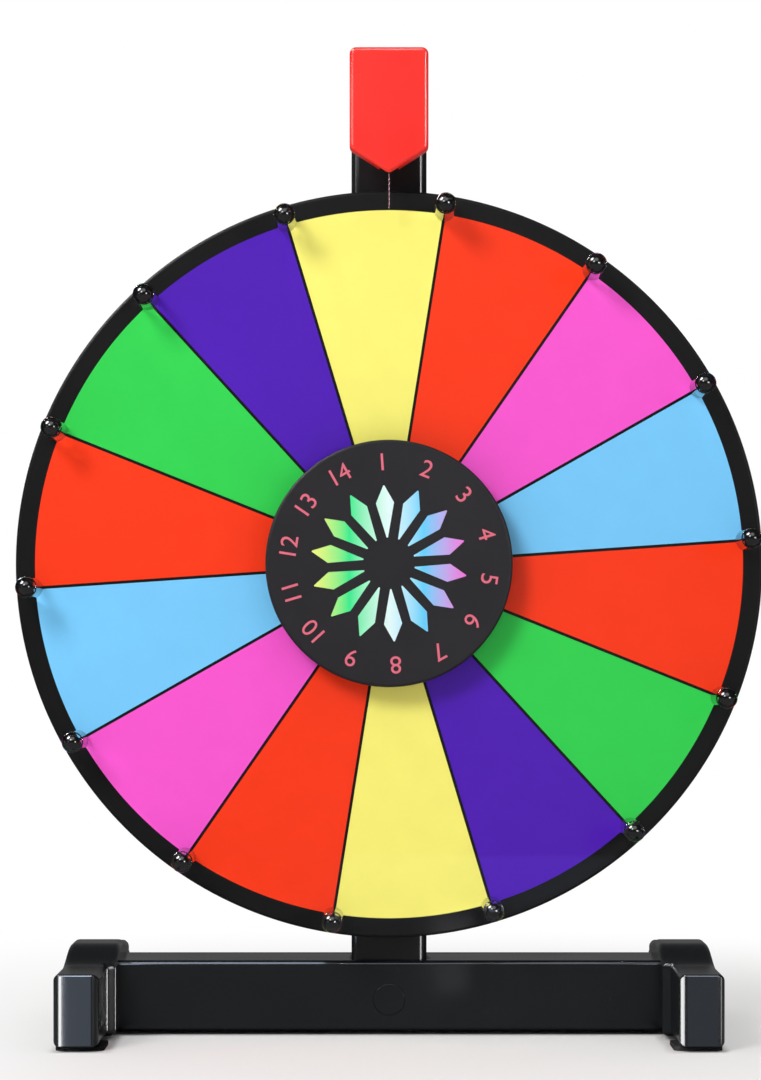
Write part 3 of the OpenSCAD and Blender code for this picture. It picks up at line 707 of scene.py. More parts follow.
def drawn_mesh(thing):
    """Mesh of an object as it is drawn, with its modifiers."""
    return bpy.data.meshes.new_from_object(thing.evaluated_get(bpy.context.evaluated_depsgraph_get()))


def add_piece(name, mesh, node, material=None, replaces=True, bevel=0.0):
    """Puts a mesh into the scene. It rides on the body of a node, takes its slot and may stand for it."""
    piece = put(name, mesh)
    mesh.materials.clear()
    mesh.materials.append(finish(material or SLOT_OF[node]))
    if bevel:
        edges = piece.modifiers.new("Broken edges", "BEVEL")
        edges.width = bevel
        edges.segments = BEVEL_SEGMENTS
        edges.limit_method = "ANGLE"
        edges.angle_limit = SHARP_ANGLE
    normals = piece.modifiers.new("Flat faces", "WEIGHTED_NORMAL")
    normals.keep_sharp = True
    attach(piece, BODY_OF[node])
    if replaces:
        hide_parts(node)


# Wheel


def sector_angles(offset=0.0):
    """Clockwise angles of the dividing lines, or of places a share of a sector past them."""
    wheel = settings().wheel
    pitch = 2 * math.pi / wheel.sector_count
    return wheel.sector_turn + pitch * (np.arange(wheel.sector_count) + offset)


class PRIZEWHEEL_OT_board(Operator):
    """Round black board: a profile with two rounded edges, carried round the axle"""

    bl_idname = "prize_wheel.board"
    bl_label = "Board"

    def execute(self, context):
        wheel = settings().wheel
        corners = [(wheel.bore, BOARD_BACK), (WHEEL_R, BOARD_BACK), (WHEEL_R, FACE), (wheel.bore, FACE)]
        profile = rounded(corners, [0, wheel.edge_radius, wheel.edge_radius, 0])
        mesh = grid_mesh("wheel_board", facing(revolve(profile)), closed=True)
        add_piece("board_disc", mesh, "wheel_board")
        return {"FINISHED"}


# Colours of the film in turn, clockwise, and the rings and steps of one sector
FILM_COLOURS = ["yellow", "red", "pink", "blue", "red", "green", "purple"]
FILM_RINGS = 12
FILM_STEPS = 20


def film_slab(inner, outer, ahead, thickness):
    """Upright sector of film as a thin slab.

    At a radius r its half angle is pitch / 2 - asin(line / 2 r), so that its sides stay half a line's
    width from the dividing lines. A row runs along the front at one radius and back along the rear,
    and the first and last rows are pinched shut.
    """
    wheel = settings().wheel
    radius = np.linspace(inner, outer, FILM_RINGS)
    radius = np.concatenate([radius[:1], radius, radius[-1:]])[:, None]
    half = math.pi / wheel.sector_count - np.arcsin(wheel.line_width / 2 / radius)
    share = np.linspace(-1, 1, FILM_STEPS)
    angle = half * np.concatenate([share, share[::-1]])
    depth = np.repeat([thickness, 0.0], FILM_STEPS) * np.ones_like(radius)
    depth[[0, -1]] = thickness / 2
    return np.stack([radius * np.sin(angle), radius * np.cos(angle), ahead + depth], -1)


class PRIZEWHEEL_OT_films(Operator):
    """Coloured film: fourteen sectors in a run of seven colours, twice round"""

    bl_idname = "prize_wheel.films"
    bl_label = "Coloured film"

    def execute(self, context):
        wheel = settings().wheel
        thickness = front("yellow_sectors") - FACE
        slab = film_slab(wheel.film_inner, WHEEL_R - wheel.rim_width, FACE, thickness)
        centres = sector_angles(-0.5)
        places = np.arange(wheel.sector_count) % len(FILM_COLOURS)
        for name in dict.fromkeys(FILM_COLOURS):
            wanted = [place for place, shade in enumerate(FILM_COLOURS) if shade == name]
            points = facing(around(slab, centres[np.isin(places, wanted)]))
            add_piece(f"{name}_film", grid_mesh(f"{name}_film", points), f"{name}_sectors")
        return {"FINISHED"}


class PRIZEWHEEL_OT_hub(Operator):
    """Round cover in the middle: a shallow dish with a rounded front edge"""

    bl_idname = "prize_wheel.hub"
    bl_label = "Hub cover"

    def execute(self, context):
        hub = settings().hub
        rear = COVER_FRONT - hub.edge_depth
        inside = COVER_FRONT - hub.wall
        inner = COVER_R - hub.wall
        corners = [
            (0, COVER_FRONT),
            (COVER_R, COVER_FRONT),
            (COVER_R, rear),
            (inner, rear),
            (inner, inside),
            (0, inside),
        ]
        profile = rounded(corners, [0, hub.edge_radius, 0, 0, 0, 0])
        mesh = grid_mesh("hub_cover", facing(revolve(profile)))
        add_piece("hub_dish", mesh, "hub_cover")
        return {"FINISHED"}


def numeral_points(text, size, height):
    """Points, as (right, up, in front), and faces of a numeral about its middle."""
    curve = bpy.data.curves.new("numeral", "FONT")
    curve.body = text
    curve.size = size
    curve.align_x = "CENTER"
    curve.align_y = "CENTER"
    curve.extrude = height
    lettering = put("numeral", curve)
    mesh = drawn_mesh(lettering)
    points = np.zeros(3 * len(mesh.vertices))
    mesh.vertices.foreach_get("co", points)
    faces = [tuple(face.vertices) for face in mesh.polygons]
    bpy.data.meshes.remove(mesh)
    bpy.data.objects.remove(lettering)
    bpy.data.curves.remove(curve)
    return points.reshape(-1, 3), faces


# Radius on a lozenge's corners
LOZENGE_CORNER = 0.5 * MM


class PRIZEWHEEL_OT_hub_print(Operator):
    """Print on the cover: a ring of numerals, and a ring of lozenges in rainbow colours"""

    bl_idname = "prize_wheel.hub_print"
    bl_label = "Hub print"

    def execute(self, context):
        hub = settings().hub
        numerals = []
        for number, angle in enumerate(sector_angles(-0.5), 1):
            points, faces = numeral_points(str(number), hub.numeral_size, hub.print_height)
            points = points + (0, 0, COVER_FRONT)
            placed = facing(around(points, [angle], hub.numeral_ring)[0])
            numerals.append(solid_mesh("numeral", placed, faces))
        mesh = joined("hub_numerals", *numerals)
        add_piece("hub_numerals", mesh, "hub_cover", "print_pink", replaces=False)
        middle = (hub.lozenge_inner + 2 * hub.lozenge_outer) / 3
        half = hub.lozenge_width / 2
        corners = [(0, hub.lozenge_inner), (half, middle), (0, hub.lozenge_outer), (-half, middle)]
        outline = rounded(corners, LOZENGE_CORNER)
        rows = carried((outline, COVER_FRONT - hub.print_height), (outline, COVER_FRONT + hub.print_height))
        lozenges = facing(around(rows, sector_angles(-0.5)))
        mesh = grid_mesh("hub_lozenges", lozenges, capped=True)
        add_piece("hub_lozenges", mesh, "hub_cover", "print_rainbow", replaces=False)
        return {"FINISHED"}


# How deep a peg is let into the board, and the spare depth of its hole past the cap's shank
PEG_SINK = 0.1 * MM
HOLE_SPARE = 0.5 * MM

# Radii on the end of a peg's stem and on its foot
STEM_EDGE = 0.3 * MM
PEG_FOOT_EDGE = 0.2 * MM


class PRIZEWHEEL_OT_pegs(Operator):
    """Clear pegs: one turned profile with a stem and a hole for the cap, repeated on the dividing lines"""

    bl_idname = "prize_wheel.pegs"
    bl_label = "Clear pegs"

    def execute(self, context):
        pegs = settings().pegs
        radius = pegs.diameter / 2
        tip = front("peg_posts")
        seat = FACE - PEG_SINK
        hole = tip - pegs.shank_length - HOLE_SPARE
        corners = [
            (0, back("peg_posts")),
            (pegs.stem / 2, back("peg_posts")),
            (pegs.stem / 2, seat),
            (radius, seat),
            (radius, tip),
            (pegs.shank / 2, tip),
            (pegs.shank / 2, hole),
            (0, hole),
        ]
        radii = [0, STEM_EDGE, 0, PEG_FOOT_EDGE, pegs.edge_radius, 0, 0, 0]
        peg = revolve(rounded(corners, radii), SMALL_TURN_STEPS)
        points = facing(around(peg, sector_angles(), WHEEL_R - pegs.inset))
        add_piece("clear_pegs", grid_mesh("clear_pegs", points), "peg_posts")
        return {"FINISHED"}


class PRIZEWHEEL_OT_caps(Operator):
    """Caps on the pegs: a slice of a sphere on a short rim, with a shank"""

    bl_idname = "prize_wheel.caps"
    bl_label = "Peg caps"

    def execute(self, context):
        pegs = settings().pegs
        radius = pegs.cap / 2
        seat = front("peg_posts")
        rim = seat + pegs.cap_rim
        height = front("peg_caps") - rim
        ball = (radius**2 + height**2) / (2 * height)
        angle = np.linspace(0, math.asin(radius / ball), 2 * ARC_STEPS)
        dome = np.stack([ball * np.sin(angle), rim + height - ball + ball * np.cos(angle)], -1)
        shank = pegs.shank / 2
        end = seat - pegs.shank_length
        base = [(radius, seat), (shank, seat), (shank, end), (0, end)]
        cap = revolve(np.concatenate([dome, base]), SMALL_TURN_STEPS)
        points = facing(around(cap, sector_angles(), WHEEL_R - pegs.inset))
        add_piece("domed_caps", grid_mesh("domed_caps", points), "peg_caps")
        return {"FINISHED"}


# Pointer and needle


class PRIZEWHEEL_OT_pointer(Operator):
    """Red pointer: a hollow shell whose wall follows a five-cornered outline, open below for the needle"""

    bl_idname = "prize_wheel.pointer"
    bl_label = "Pointer"

    def execute(self, context):
        sizes = settings().pointer
        low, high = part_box("pointer")
        half = high.x
        top = high.z - low.z
        ahead = front("pointer")
        behind = back("pointer")
        inside = ahead - sizes.front_wall
        corners = [(0, 0), (half, sizes.vee), (half, top), (-half, top), (-half, sizes.vee)]
        centre, direction, _ = corner_arcs(corners, sizes.corner_radius)
        slope = math.atan2(sizes.vee, half)
        normal = np.array([math.sin(slope), -math.cos(slope)])
        edge = sizes.slot / 2 * np.array([1, math.tan(slope)]) - sizes.corner_radius * normal
        tip_steps = ARC_STEPS + 1

        def with_slot(along, right):
            """Puts the slot's right edge and its mirror image in, to both sides of the tip."""
            left = right * (-1, 1)
            return np.concatenate([[left], along[:tip_steps], [right, right], along[tip_steps:], [left]])

        centre = with_slot(centre, edge)
        direction = with_slot(direction, normal)
        in_slot = np.arange(len(centre)) <= tip_steps + 1
        rim = np.where(in_slot, inside, behind)

        def row(inset, depth):
            """The outline drawn in by an inset, at a depth."""
            outline = centre + (sizes.corner_radius - inset) * direction
            return np.column_stack([outline, np.broadcast_to(depth, len(outline))])

        edge_r = sizes.edge_radius
        rows = []
        for bend in np.linspace(math.pi / 2, 0, ARC_STEPS + 1):
            rows.append(row(edge_r * (1 - math.cos(bend)), ahead - edge_r * (1 - math.sin(bend))))
        rows += [row(0, rim), row(sizes.side_wall, rim), row(sizes.side_wall, inside)]
        shell = grid_mesh("pointer", facing(np.stack(rows), z=low.z), capped=True)
        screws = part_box("pointer_screws")
        head = (screws[1].x - screws[0].x) / 2
        boss = sizes.boss / 2
        stub = revolve([(0, behind), (boss, behind), (boss, inside), (0, inside)], SMALL_TURN_STEPS)
        bosses = [grid_mesh("boss", facing(stub, z=z)) for z in (screws[0].z + head, screws[1].z - head)]
        add_piece("pointer_shell", joined("pointer_shell", shell, *bosses), "pointer")
        return {"FINISHED"}


# Thickness of a strand as a share of the wire's
STRAND_SHARE = 0.55

# Steps along the twisted wire, round the eye and over the bead
NEEDLE_STEPS = 160
EYE_STEPS = 48
BEAD_STEPS = 17


class PRIZEWHEEL_OT_needle(Operator):
    """Needle: two strands twisted into one springy wire, with an eye at the top and a bead at the tip"""

    bl_idname = "prize_wheel.needle"
    bl_label = "Needle"

    def execute(self, context):
        sizes = settings().pointer
        pivot = JOINT_PLACE["needle_flex"]
        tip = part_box("needle")[0].z
        wire = sizes.wire / 2
        strand = STRAND_SHARE * wire
        offset = wire - strand
        drop = np.linspace(sizes.eye - wire / 2, pivot.z - tip - wire, NEEDLE_STEPS)[:, None]
        phi = full_turn(WIRE_TURN_STEPS)
        # union of two circles about the middle of the wire, in polar form
        reach = offset * np.abs(np.cos(phi)) + np.sqrt(strand**2 - (offset * np.sin(phi)) ** 2)
        turned = phi + 2 * np.pi * drop / sizes.twist
        twisted = points_of(reach * np.cos(turned), -drop, -pivot.y + reach * np.sin(turned))
        ring = full_turn(EYE_STEPS)[:, None]
        out = sizes.eye + wire * np.cos(phi)
        eye = points_of(out * np.cos(ring), out * np.sin(ring), -pivot.y + wire * np.sin(phi))
        lift = np.linspace(-np.pi / 2, np.pi / 2, BEAD_STEPS)
        ball = np.stack([wire * np.cos(lift), -pivot.y + wire * np.sin(lift)], -1)
        bead = revolve(ball, WIRE_TURN_STEPS) + (0, tip + wire - pivot.z, 0)
        meshes = [
            grid_mesh("twisted", facing(twisted, z=pivot.z), capped=True),
            grid_mesh("eye", facing(eye, z=pivot.z), closed=True),
            grid_mesh("bead", facing(bead, z=pivot.z)),
        ]
        add_piece("twisted_needle", joined("twisted_needle", *meshes), "needle")
        return {"FINISHED"}


# Stand


class PRIZEWHEEL_OT_post(Operator):
    """Square tube with round corners: an outer and an inner outline carried up"""

    bl_idname = "prize_wheel.post"
    bl_label = "Post"

    def execute(self, context):
        stand = settings().stand
        low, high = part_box("post")
        corners = [(low.x, low.y), (high.x, low.y), (high.x, high.y), (low.x, high.y)]
        centre, direction, radius = corner_arcs(corners, stand.post_corner)
        outer = centre + radius * direction
        inner = centre + (radius - stand.post_wall) * direction
        points = carried((outer, low.z), (outer, high.z), (inner, high.z), (inner, low.z))
        add_piece("square_post", grid_mesh("square_post", points, closed=True), "post")
        return {"FINISHED"}


# Sections on the round of toe and heel, on the shoulder and along the slope
FOOT_END_STEPS = 16
SHOULDER_STEPS = 16
SLOPE_STEPS = 36

# How far a counterbore goes in past the outer end of a foot screw
HEAD_SEAT = 5 * MM


def foot_points():
    """Right foot as sections across its length.

    A section is a rectangle with round corners. Its inner side eases out to a collar over the length
    of the shoulder, and its top eases up to a crest over the length of the slope, both by
    t * t * (3 - 2 t). A round of radius r at toe and heel draws it in by r - sqrt(r * r - p * p),
    where p is the distance past the round's start. Below, the section is drawn up into a hollow.
    """
    stand = settings().stand
    low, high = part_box("right_foot")
    crest_half = stand.crest / 2
    collar_half = BAR_HALF_DEPTH + stand.collar_wall
    shoulder_half = collar_half + stand.shoulder
    slope_half = crest_half + stand.slope
    hollow_from = BAR_HALF_DEPTH + 2 * stand.foot_wall
    hollow_to = high.y - stand.foot_wall
    hollow = stand.toe_height - stand.foot_wall - low.z
    bend = np.linspace(0, np.pi / 2, FOOT_END_STEPS + 1)
    places = np.concatenate([
        np.linspace(crest_half, collar_half, SLOPE_STEPS, endpoint=False),
        np.linspace(collar_half, shoulder_half, SHOULDER_STEPS, endpoint=False),
        np.linspace(shoulder_half, slope_half, SHOULDER_STEPS),
        high.y - stand.toe_corner * (1 - np.sin(bend)),
    ])
    # the hollow's ends are upright, so two sections share each of their places
    y = np.sort(np.concatenate([places, [hollow_from] * 2, [hollow_to] * 2]))
    depth = np.zeros(len(y))
    depth[np.searchsorted(y, hollow_from) + 1 : np.searchsorted(y, hollow_to) + 1] = hollow
    y = np.concatenate([-y[::-1], y])[:, None]
    depth = np.concatenate([depth[::-1], depth])[:, None]

    def eased(half, run):
        """0 at a distance half from the foot's middle, easing to 1 over a run towards it."""
        share = np.clip((half - np.abs(y)) / run, 0, 1)
        return share**2 * (3 - 2 * share)

    def drawn_in(radius):
        """How far a round at toe and heel draws the section in."""
        past = np.clip(np.abs(y) - high.y + radius, 0, radius)
        return radius - np.sqrt(radius**2 - past**2)

    aside = drawn_in(stand.toe_corner)
    down = drawn_in(stand.toe_edge)
    radius = np.maximum(stand.end_corner, stand.foot_edge - aside)
    wide = stand.toe_width + stand.collar_out * eased(shoulder_half, stand.shoulder)
    inner = high.x - wide + aside + radius
    outer = high.x - aside - radius
    top = stand.toe_height + (high.z - stand.toe_height) * eased(slope_half, stand.slope) - down - radius
    bottom = low.z + down + radius

    quarter = np.linspace(0, np.pi / 2, ARC_STEPS + 1)

    def arc(x, z, start):
        """A quarter of a turn about x, z."""
        return x + radius * np.cos(start + quarter), z + radius * np.sin(start + quarter)

    hollow_left = high.x - stand.toe_width + stand.foot_wall
    hollow_right = high.x - stand.foot_wall
    floor = low.z + down
    hollow_x = np.clip([hollow_left, hollow_left, hollow_right, hollow_right], inner, outer)
    hollow_z = np.concatenate([floor, floor + depth, floor + depth, floor], 1)
    parts = [
        arc(inner, bottom, np.pi),
        (hollow_x, hollow_z),
        arc(outer, bottom, 1.5 * np.pi),
        arc(outer, top, 0),
        arc(inner, top, np.pi / 2),
    ]
    x = np.concatenate([part[0] for part in parts], 1)
    z = np.concatenate([part[1] for part in parts], 1)
    return points_of(x, y, z)


def drilled(blank, holes):
    """A mesh with holes, a mesh of closed solids, cut out of it. Both are used up."""
    piece = put("blank", blank)
    drill = put("drill", holes)
    cut = piece.modifiers.new("Holes", "BOOLEAN")
    cut.object = drill
    cut.solver = "EXACT"
    mesh = drawn_mesh(piece)
    for thing, used in ((piece, blank), (drill, holes)):
        bpy.data.objects.remove(thing)
        bpy.data.meshes.remove(used)
    return smooth(mesh)


class PRIZEWHEEL_OT_feet(Operator):
    """Two moulded feet: a lofted shell with a flared collar, and counterbores for the screws"""

    bl_idname = "prize_wheel.feet"
    bl_label = "Feet"

    def execute(self, context):
        stand = settings().stand
        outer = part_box("right_foot")[1].x
        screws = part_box("foot_screws")
        head = (screws[1].z - screws[0].z) / 2
        depth = outer - screws[1].x + HEAD_SEAT
        radius = stand.screw_hole / 2
        hole = revolve([(0, 0), (radius, 0), (radius, 1), (0, 1)], SMALL_TURN_STEPS)
        across, up, ahead = np.moveaxis(hole, -1, 0)
        z = (screws[0].z + screws[1].z) / 2
        places = (screws[0].y + head, screws[1].y - head)
        for side, node in ((-1, "left_foot"), (1, "right_foot")):
            blank = grid_mesh(node, foot_points() * (side, 1, 1), capped=True)
            x = side * (outer - depth + ahead * 2 * depth)
            holes = np.stack([np.stack([x, across + place, up + z], -1) for place in places])
            add_piece(f"{node}_moulding", drilled(blank, grid_mesh("holes", holes)), node)
        return {"FINISHED"}


# Pieces whose own solid has the right shape, each with the width of its broken edges
PLAIN_PIECES = {
    "crossbar": 0.0,
    "crossbar_plug": 0.25 * MM,
    "foot_pads": 0.6 * MM,
    "foot_screws": 0.3 * MM,
    "post_bolt": 0.3 * MM,
    "post_washer": 0.2 * MM,
    "post_nut": 0.4 * MM,
    "pointer_arm": 0.6 * MM,
    "arm_screw": 0.3 * MM,
    "pointer_screws": 0.3 * MM,
    "needle_screw": 0.2 * MM,
    "axle": 0.5 * MM,
    "axle_sleeve": 0.0,
    "axle_collar": 0.3 * MM,
    "axle_washers": 0.2 * MM,
    "axle_nut": 0.4 * MM,
    "bearing_inner_rings": 0.0,
    "bearing_spacer": 0.0,
    "bearing_outer_rings": 0.0,
    "bearing_balls": 0.0,
    "bearing_cages": 0.0,
    "hub_flange": 0.4 * MM,
    "hub_screws": 0.3 * MM,
    "hub_drum": 0.0,
    "peg_clips": 0.2 * MM,
}


class PRIZEWHEEL_OT_plain_pieces(Operator):
    """Crossbar, fasteners, axle and bearings: their own solids, smoothed, with their edges broken"""

    bl_idname = "prize_wheel.plain_pieces"
    bl_label = "Fasteners and bearings"

    def execute(self, context):
        for node, bevel in PLAIN_PIECES.items():
            add_piece(f"{node}_finished", smooth_copy(node, flatten=bevel > 0), node, bevel=bevel)
        return {"FINISHED"}


# Stage

# Colours of the cards
WHITE = (1, 1, 1)
COOL = (0.80, 0.97, 1.25)

# Height of the small cards beside upright edges, and their usual distance
EDGE_CARD_HEIGHT = 50 * MM
EDGE_CARD_REACH = 60 * MM

# Way from a level edge to its card, the card's usual distance, and its height as a share of that
TOP_CARD_WAY = Vector((0, -0.62, 0.78))
TOP_CARD_REACH = 64 * MM
TOP_CARD_SHARE = 0.78

# A card goes dark at an angle whose tangent is this times its width over its distance
CARD_SPREAD = 1.25

# The softbox, and tall cards for the lines along the post: name, place, width and brightness
KEY_PLACE = (-1.0, -1.85, 1.45)
KEY_SIZE = 0.7
POST_CARDS = [
    ("left_card", (-1.30, -0.96, 0.75), 0.12, 40.0),
    ("right_card", (0.83, -1.40, 0.75), 0.20, 76.0),
]
POST_CARD_HEIGHT = 1.4

# How far the pointer's cards stand above its middle and the card of the post's foot above the crossbar,
# and how much wider than a toe's flat front the card above it is
POINTER_CARD_LIFT = 10 * MM
POST_CARD_LIFT = 4 * MM
TOE_CARD_EXTRA = 24 * MM


def softbox(name, place, target, width, height, power):
    """Rectangular soft light at a place, turned to a target. Returns its object."""
    lamp = bpy.data.lights.new(name, "AREA")
    lamp.shape = "RECTANGLE"
    lamp.size = width
    lamp.size_y = height
    lamp.energy = power
    light = put(name, lamp)
    light.location = place
    light.rotation_euler = (Vector(target) - Vector(place)).to_track_quat("-Z", "Y").to_euler()
    light.visible_camera = False
    return light


def card(name, place, target, width, height, brightness, shade=WHITE):
    """Bright card that only glossy surfaces near its target show."""
    reach = (Vector(target) - Vector(place)).length
    half_spread = math.atan(CARD_SPREAD * width / reach)
    narrowed = 1 - half_spread / math.tan(half_spread)
    power = brightness * settings().stage.gloss * narrowed * math.pi * width * height
    light = softbox(name, place, target, width, height, power)
    light.data.spread = 2 * half_spread
    light.data.color = shade
    light.visible_diffuse = False
    light.visible_transmission = False


def edge_card(name, edge, azimuth, half_angle, brightness, shade=WHITE, reach=EDGE_CARD_REACH):
    """Small card near an upright edge. It covers an angle to both sides of an azimuth, 0 in front."""
    turn = math.radians(azimuth)
    place = Vector(edge) + reach * Vector((math.sin(turn), -math.cos(turn), 0))
    width = 2 * reach * math.tan(math.radians(half_angle))
    card(name, place, edge, width, EDGE_CARD_HEIGHT, brightness, shade)


def top_card(name, edge, width, brightness, shade=WHITE, reach=TOP_CARD_REACH):
    """Small card in front of a level edge and above it."""
    place = Vector(edge) + reach * TOP_CARD_WAY
    card(name, place, edge, width, TOP_CARD_SHARE * reach, brightness, shade)


def light_post_and_pointer():
    """Tall cards for the lines along the post, and small ones for the pointer's sides and top."""
    low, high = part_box("pointer")
    for name, place, width, brightness in POST_CARDS:
        card(name, place, (0, 0, low.z), width, POST_CARD_HEIGHT, brightness)
    level = (low.z + high.z) / 2 + POINTER_CARD_LIFT
    # name, place across, azimuth, half angle and brightness
    sides = [("pointer_left", -high.x, -52, 42, 3.8), ("pointer_right", high.x, 52, 42, 2.2)]
    for name, x, *light in sides:
        edge_card(name, (x, low.y, level), *light)
    top_card("pointer_top", (0, low.y, high.z), width=2 * high.x, brightness=8.0)


def light_stand():
    """Cards for the bright lines and faces on the feet, the crossbar and the foot of the post."""
    stand = settings().stand
    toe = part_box("right_foot")[1]
    outer = toe.x - stand.toe_corner
    inner = toe.x - stand.toe_width + stand.toe_corner
    middle = (inner + outer) / 2
    end = -toe.y + stand.toe_corner
    collar = -BAR_HALF_DEPTH - stand.collar_wall
    level = EDGE_CARD_HEIGHT / 2
    # name, place across and ahead, azimuth, half angle, brightness, colour and reach
    uprights = [
        ("left_toe_line", -outer, end, -20, 16.5, 52.0, WHITE, 15 * MM),
        ("right_toe_line", inner, end, -70, 30, 36.0, WHITE, 25 * MM),
        ("right_toe_glint", outer, end, 67, 8, 15.0, WHITE, EDGE_CARD_REACH),
        ("left_toe_glint", -inner, end, 104, 10, 0.8, WHITE, EDGE_CARD_REACH),
        ("left_toe_face", -middle - 0.5 * MM, -toe.y, 0, 42, 2.1, COOL, 12 * MM),
        ("right_toe_face", middle + 2 * MM, -toe.y, 0, 45, 0.8, COOL, 12 * MM),
        ("left_collar_line", -inner, collar, 94, 10, 84.0, WHITE, EDGE_CARD_REACH),
    ]
    for name, x, y, *light in uprights:
        edge_card(name, (x, y, level), *light)
    toe_card = outer - inner + TOE_CARD_EXTRA
    # name, middle of the edge, width, brightness and reach
    tops = [
        ("left_toe_top", (-middle, -toe.y, stand.toe_height), toe_card, 36.0, TOP_CARD_REACH),
        ("right_toe_top", (middle, -toe.y, stand.toe_height), toe_card, 13.0, TOP_CARD_REACH),
        ("bar_left_top", (-0.1, -BAR_HALF_DEPTH, BAR_TOP), 0.12, 9.0, 16 * MM),
        ("bar_right_top", (0.06, -BAR_HALF_DEPTH, BAR_TOP), 0.18, 2.0, TOP_CARD_REACH),
    ]
    for name, edge, width, brightness, reach in tops:
        top_card(name, edge, width, brightness, COOL, reach)
    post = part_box("post")[1]
    post_edge = (post.x - stand.post_corner, stand.post_corner - post.y, BAR_TOP + POST_CARD_LIFT)
    edge_card("post_line", post_edge, azimuth=31, half_angle=10, brightness=38.0)


def seen_rays(sheet):
    """1 on rays from the camera and on those that a gloss or a clear piece sends on."""
    names = ["Is Camera Ray", "Is Glossy Ray", "Is Transmission Ray"]
    camera, glossy, clear = [sheet.node("ShaderNodeLightPath", output=name) for name in names]
    options = {"operation": "ADD", "use_clamp": True}
    return sheet.node("ShaderNodeMath", options, {0: camera + glossy, 1: clear})


# Brightness of the room that gloss shows, and a low pale band at its back. Each row says between which
# shares of a direction, up, to the back and aside, the band goes from one brightness to the other.
ROOM = 0.05
BAND_UP = (0.1, 0.5, 0.12, 0.0)
BAND_BACK = (0.0, 0.5, 0.0, 1.0)
BAND_ASIDE = (0.04, 0.12, 1.0, 0.0)

# Soft patches that only gloss shows: direction, angles where a patch is full and gone, brightness
GLOSS_PATCHES = [
    ((-0.66, -0.14, 0.74), 11, 18, 34.0),
    ((0.62, -0.76, 0.10), 4, 11, 14.0),
    ((0.0, -0.64, 0.77), 10, 30, 3.0),
]


def light_world():
    """White all round where it is seen. Gloss shows a dim room with a pale band and soft patches."""
    stage = settings().stage
    world = bpy.data.worlds.new("studio")
    world.use_nodes = True
    bpy.context.scene.world = world
    sheet = Sheet(world.node_tree)
    way = sheet.node("ShaderNodeTexCoord", output="Generated")
    across = sheet.along(way, "X")
    low = sheet.ease(sheet.along(way, "Z"), *BAND_UP)
    behind = sheet.ease(sheet.along(way, "Y"), *BAND_BACK)
    studio = low * behind * sheet.ease(across * across, *BAND_ASIDE) + ROOM
    for direction, full, gone, brightness in GLOSS_PATCHES:
        aims = {0: way, 1: unit(np.array(direction))}
        near = sheet.node("ShaderNodeVectorMath", {"operation": "DOT_PRODUCT"}, aims, output="Value")
        ends = math.cos(math.radians(gone)), math.cos(math.radians(full))
        studio = studio + sheet.ease(near, *ends, 0.0, brightness * stage.gloss)
    glossy = sheet.node("ShaderNodeLightPath", output="Is Glossy Ray")
    seen = seen_rays(sheet)
    strength = seen * (1 - glossy) + glossy * studio + (1 - seen) * stage.ambient
    background = sheet.node("ShaderNodeBackground", inputs={"Color": (1, 1, 1, 1), "Strength": strength})
    sheet.node("ShaderNodeOutputWorld", inputs={"Surface": background})


# How far inside and outside a node's box its footprint starts and ends
FOOTPRINT_IN = 1 * MM
FOOTPRINT_OUT = 5 * MM

# Half the width of the floor. Each row after it says between which places the floor goes from one share
# to another: of white, away from the middle; of white on the left, painted light from the side the key light falls
# from; and of light in gloss, to the back.
FLOOR_REACH = 6.0
PALE_AWAY = (0.15, 0.75, 0.35, 1.0)
PAINTED_LIGHT_LEFT = (-0.26, -0.16, 0.5, 0.0)
DUSK_BACK = (-0.05, 0.15, 0.4, 0.1)


def footprint(sheet, node):
    """1 on the floor under a node's box, and 0 a little way off."""
    low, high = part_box(node)
    inside = 1.0
    for axis in (0, 1):
        middle = (low[axis] + high[axis]) / 2
        half = (high[axis] - low[axis]) / 2
        off = sheet.along(sheet.place(), "XY"[axis]) - middle
        distance = sheet.node("ShaderNodeMath", {"operation": "ABSOLUTE"}, {0: off})
        inside = inside * sheet.ease(distance, half - FOOTPRINT_IN, half + FOOTPRINT_OUT, 1.0, 0.0)
    return inside


def floor_finish():
    """Pale floor: it keeps the shadow near the object, fades to white further off, is whiter on the left as
    painted light, and is dim in gloss, where it is painted black under the crossbar and feet as painted shade.
    """
    material, sheet = new_finish("floor")
    place = sheet.place()
    far = sheet.node("ShaderNodeVectorMath", {"operation": "LENGTH"}, {0: place}, output="Value")
    shader = sheet.node("ShaderNodeBsdfDiffuse", inputs={"Color": opaque(settings().stage.floor)})
    glossy = sheet.node("ShaderNodeLightPath", output="Is Glossy Ray")
    # Painted shade: in gloss the floor under the crossbar and the feet is black. To the camera it gets no white
    # there, so the shade that falls there shows.
    bare = 1.0
    for node in ("crossbar", "left_foot", "right_foot"):
        bare = bare * (1 - footprint(sheet, node))
    dusk = sheet.ease(sheet.along(place, "Y"), *DUSK_BACK) * bare
    white = sheet.node("ShaderNodeEmission", inputs={"Strength": 1 - glossy * (1 - dusk)})
    # Painted light: the floor gets more white on the left, the side the key light falls from.
    left = sheet.ease(sheet.along(place, "X"), *PAINTED_LIGHT_LEFT)
    pale = 1 - (1 - sheet.ease(far, *PALE_AWAY)) * (1 - left)
    fade = pale * seen_rays(sheet) * bare * (1 - glossy) + glossy
    mixed = sheet.node("ShaderNodeMixShader", inputs={0: fade, 1: shader, 2: white})
    sheet.node("ShaderNodeOutputMaterial", inputs={"Surface": mixed})
    return material


def add_floor():
    """Wide square floor under the object."""
    ends = (-FLOOR_REACH, FLOOR_REACH)
    corners = [(x, y, 0) for x in ends for y in ends]
    mesh = bpy.data.meshes.new("floor")
    mesh.from_pydata(corners, [], [(0, 2, 3, 1)])
    mesh.materials.append(floor_finish())
    put("floor", mesh)


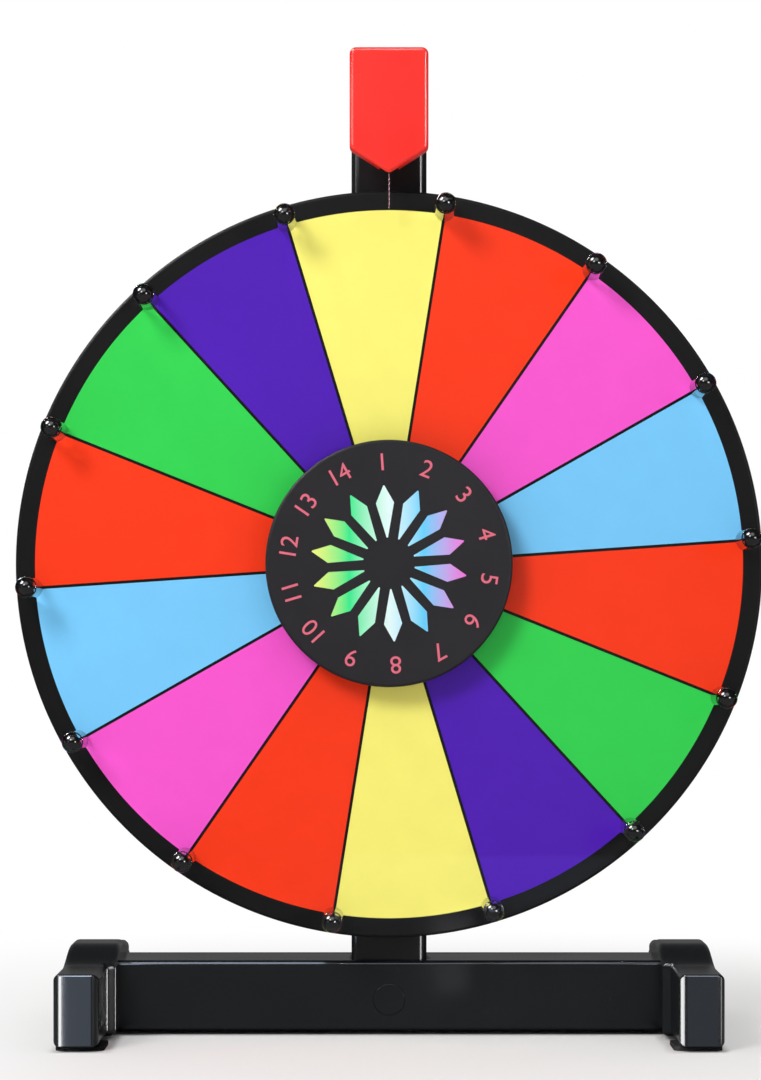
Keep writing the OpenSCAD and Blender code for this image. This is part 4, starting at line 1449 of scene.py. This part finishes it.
class PRIZEWHEEL_OT_stage(Operator):
    """Camera, soft light from the upper left, bright cards for the gloss and a pale floor"""

    bl_idname = "prize_wheel.stage"
    bl_label = "Stage"

    def execute(self, context):
        stage = settings().stage
        lens = bpy.data.cameras.new("camera")
        lens.lens = stage.lens
        lens.shift_x = stage.shift_x
        lens.shift_y = stage.shift_y
        camera = put("camera", lens)
        camera.location = (0, -stage.camera_distance, stage.camera_height)
        camera.rotation_euler = (math.pi / 2, 0, 0)
        context.scene.camera = camera
        softbox("key", KEY_PLACE, (0, -FACE, AXLE_Z), KEY_SIZE, KEY_SIZE, stage.key)
        light_post_and_pointer()
        light_stand()
        add_floor()
        light_world()
        context.scene.view_settings.view_transform = "Standard"
        return {"FINISHED"}


STEPS = [
    PRIZEWHEEL_OT_stage,
    PRIZEWHEEL_OT_board,
    PRIZEWHEEL_OT_films,
    PRIZEWHEEL_OT_hub,
    PRIZEWHEEL_OT_hub_print,
    PRIZEWHEEL_OT_pegs,
    PRIZEWHEEL_OT_caps,
    PRIZEWHEEL_OT_pointer,
    PRIZEWHEEL_OT_needle,
    PRIZEWHEEL_OT_post,
    PRIZEWHEEL_OT_feet,
    PRIZEWHEEL_OT_plain_pieces,
]


class PRIZEWHEEL_PT_panel(Panel):
    """Lists the pieces and their settings"""

    bl_idname = "PRIZEWHEEL_PT_panel"
    bl_label = "Prize wheel"
    bl_space_type = "VIEW_3D"
    bl_region_type = "UI"
    bl_category = "Prize wheel"

    def draw(self, context):
        for step in STEPS:
            self.layout.operator(step.bl_idname)
        for group_name in PrizeWheel.__annotations__:
            group = getattr(context.scene.prize_wheel, group_name)
            box = self.layout.box()
            box.label(text=group_name.capitalize())
            for name in type(group).__annotations__:
                box.prop(group, name)


GROUPS = [WheelSizes, HubSizes, PegSizes, PointerSizes, StandSizes, StageSettings, PrizeWheel]
CLASSES = [*GROUPS, *STEPS, PRIZEWHEEL_PT_panel]


def register():
    for item in CLASSES:
        bpy.utils.register_class(item)
    bpy.types.Scene.prize_wheel = PointerProperty(type=PrizeWheel)


def unregister():
    del bpy.types.Scene.prize_wheel
    for item in reversed(CLASSES):
        bpy.utils.unregister_class(item)


def main():
    """Registers the add-on and builds every piece."""
    register()
    for step in STEPS:
        getattr(bpy.ops.prize_wheel, step.bl_idname.split(".")[1])()


if __name__ == "__main__":
    main()
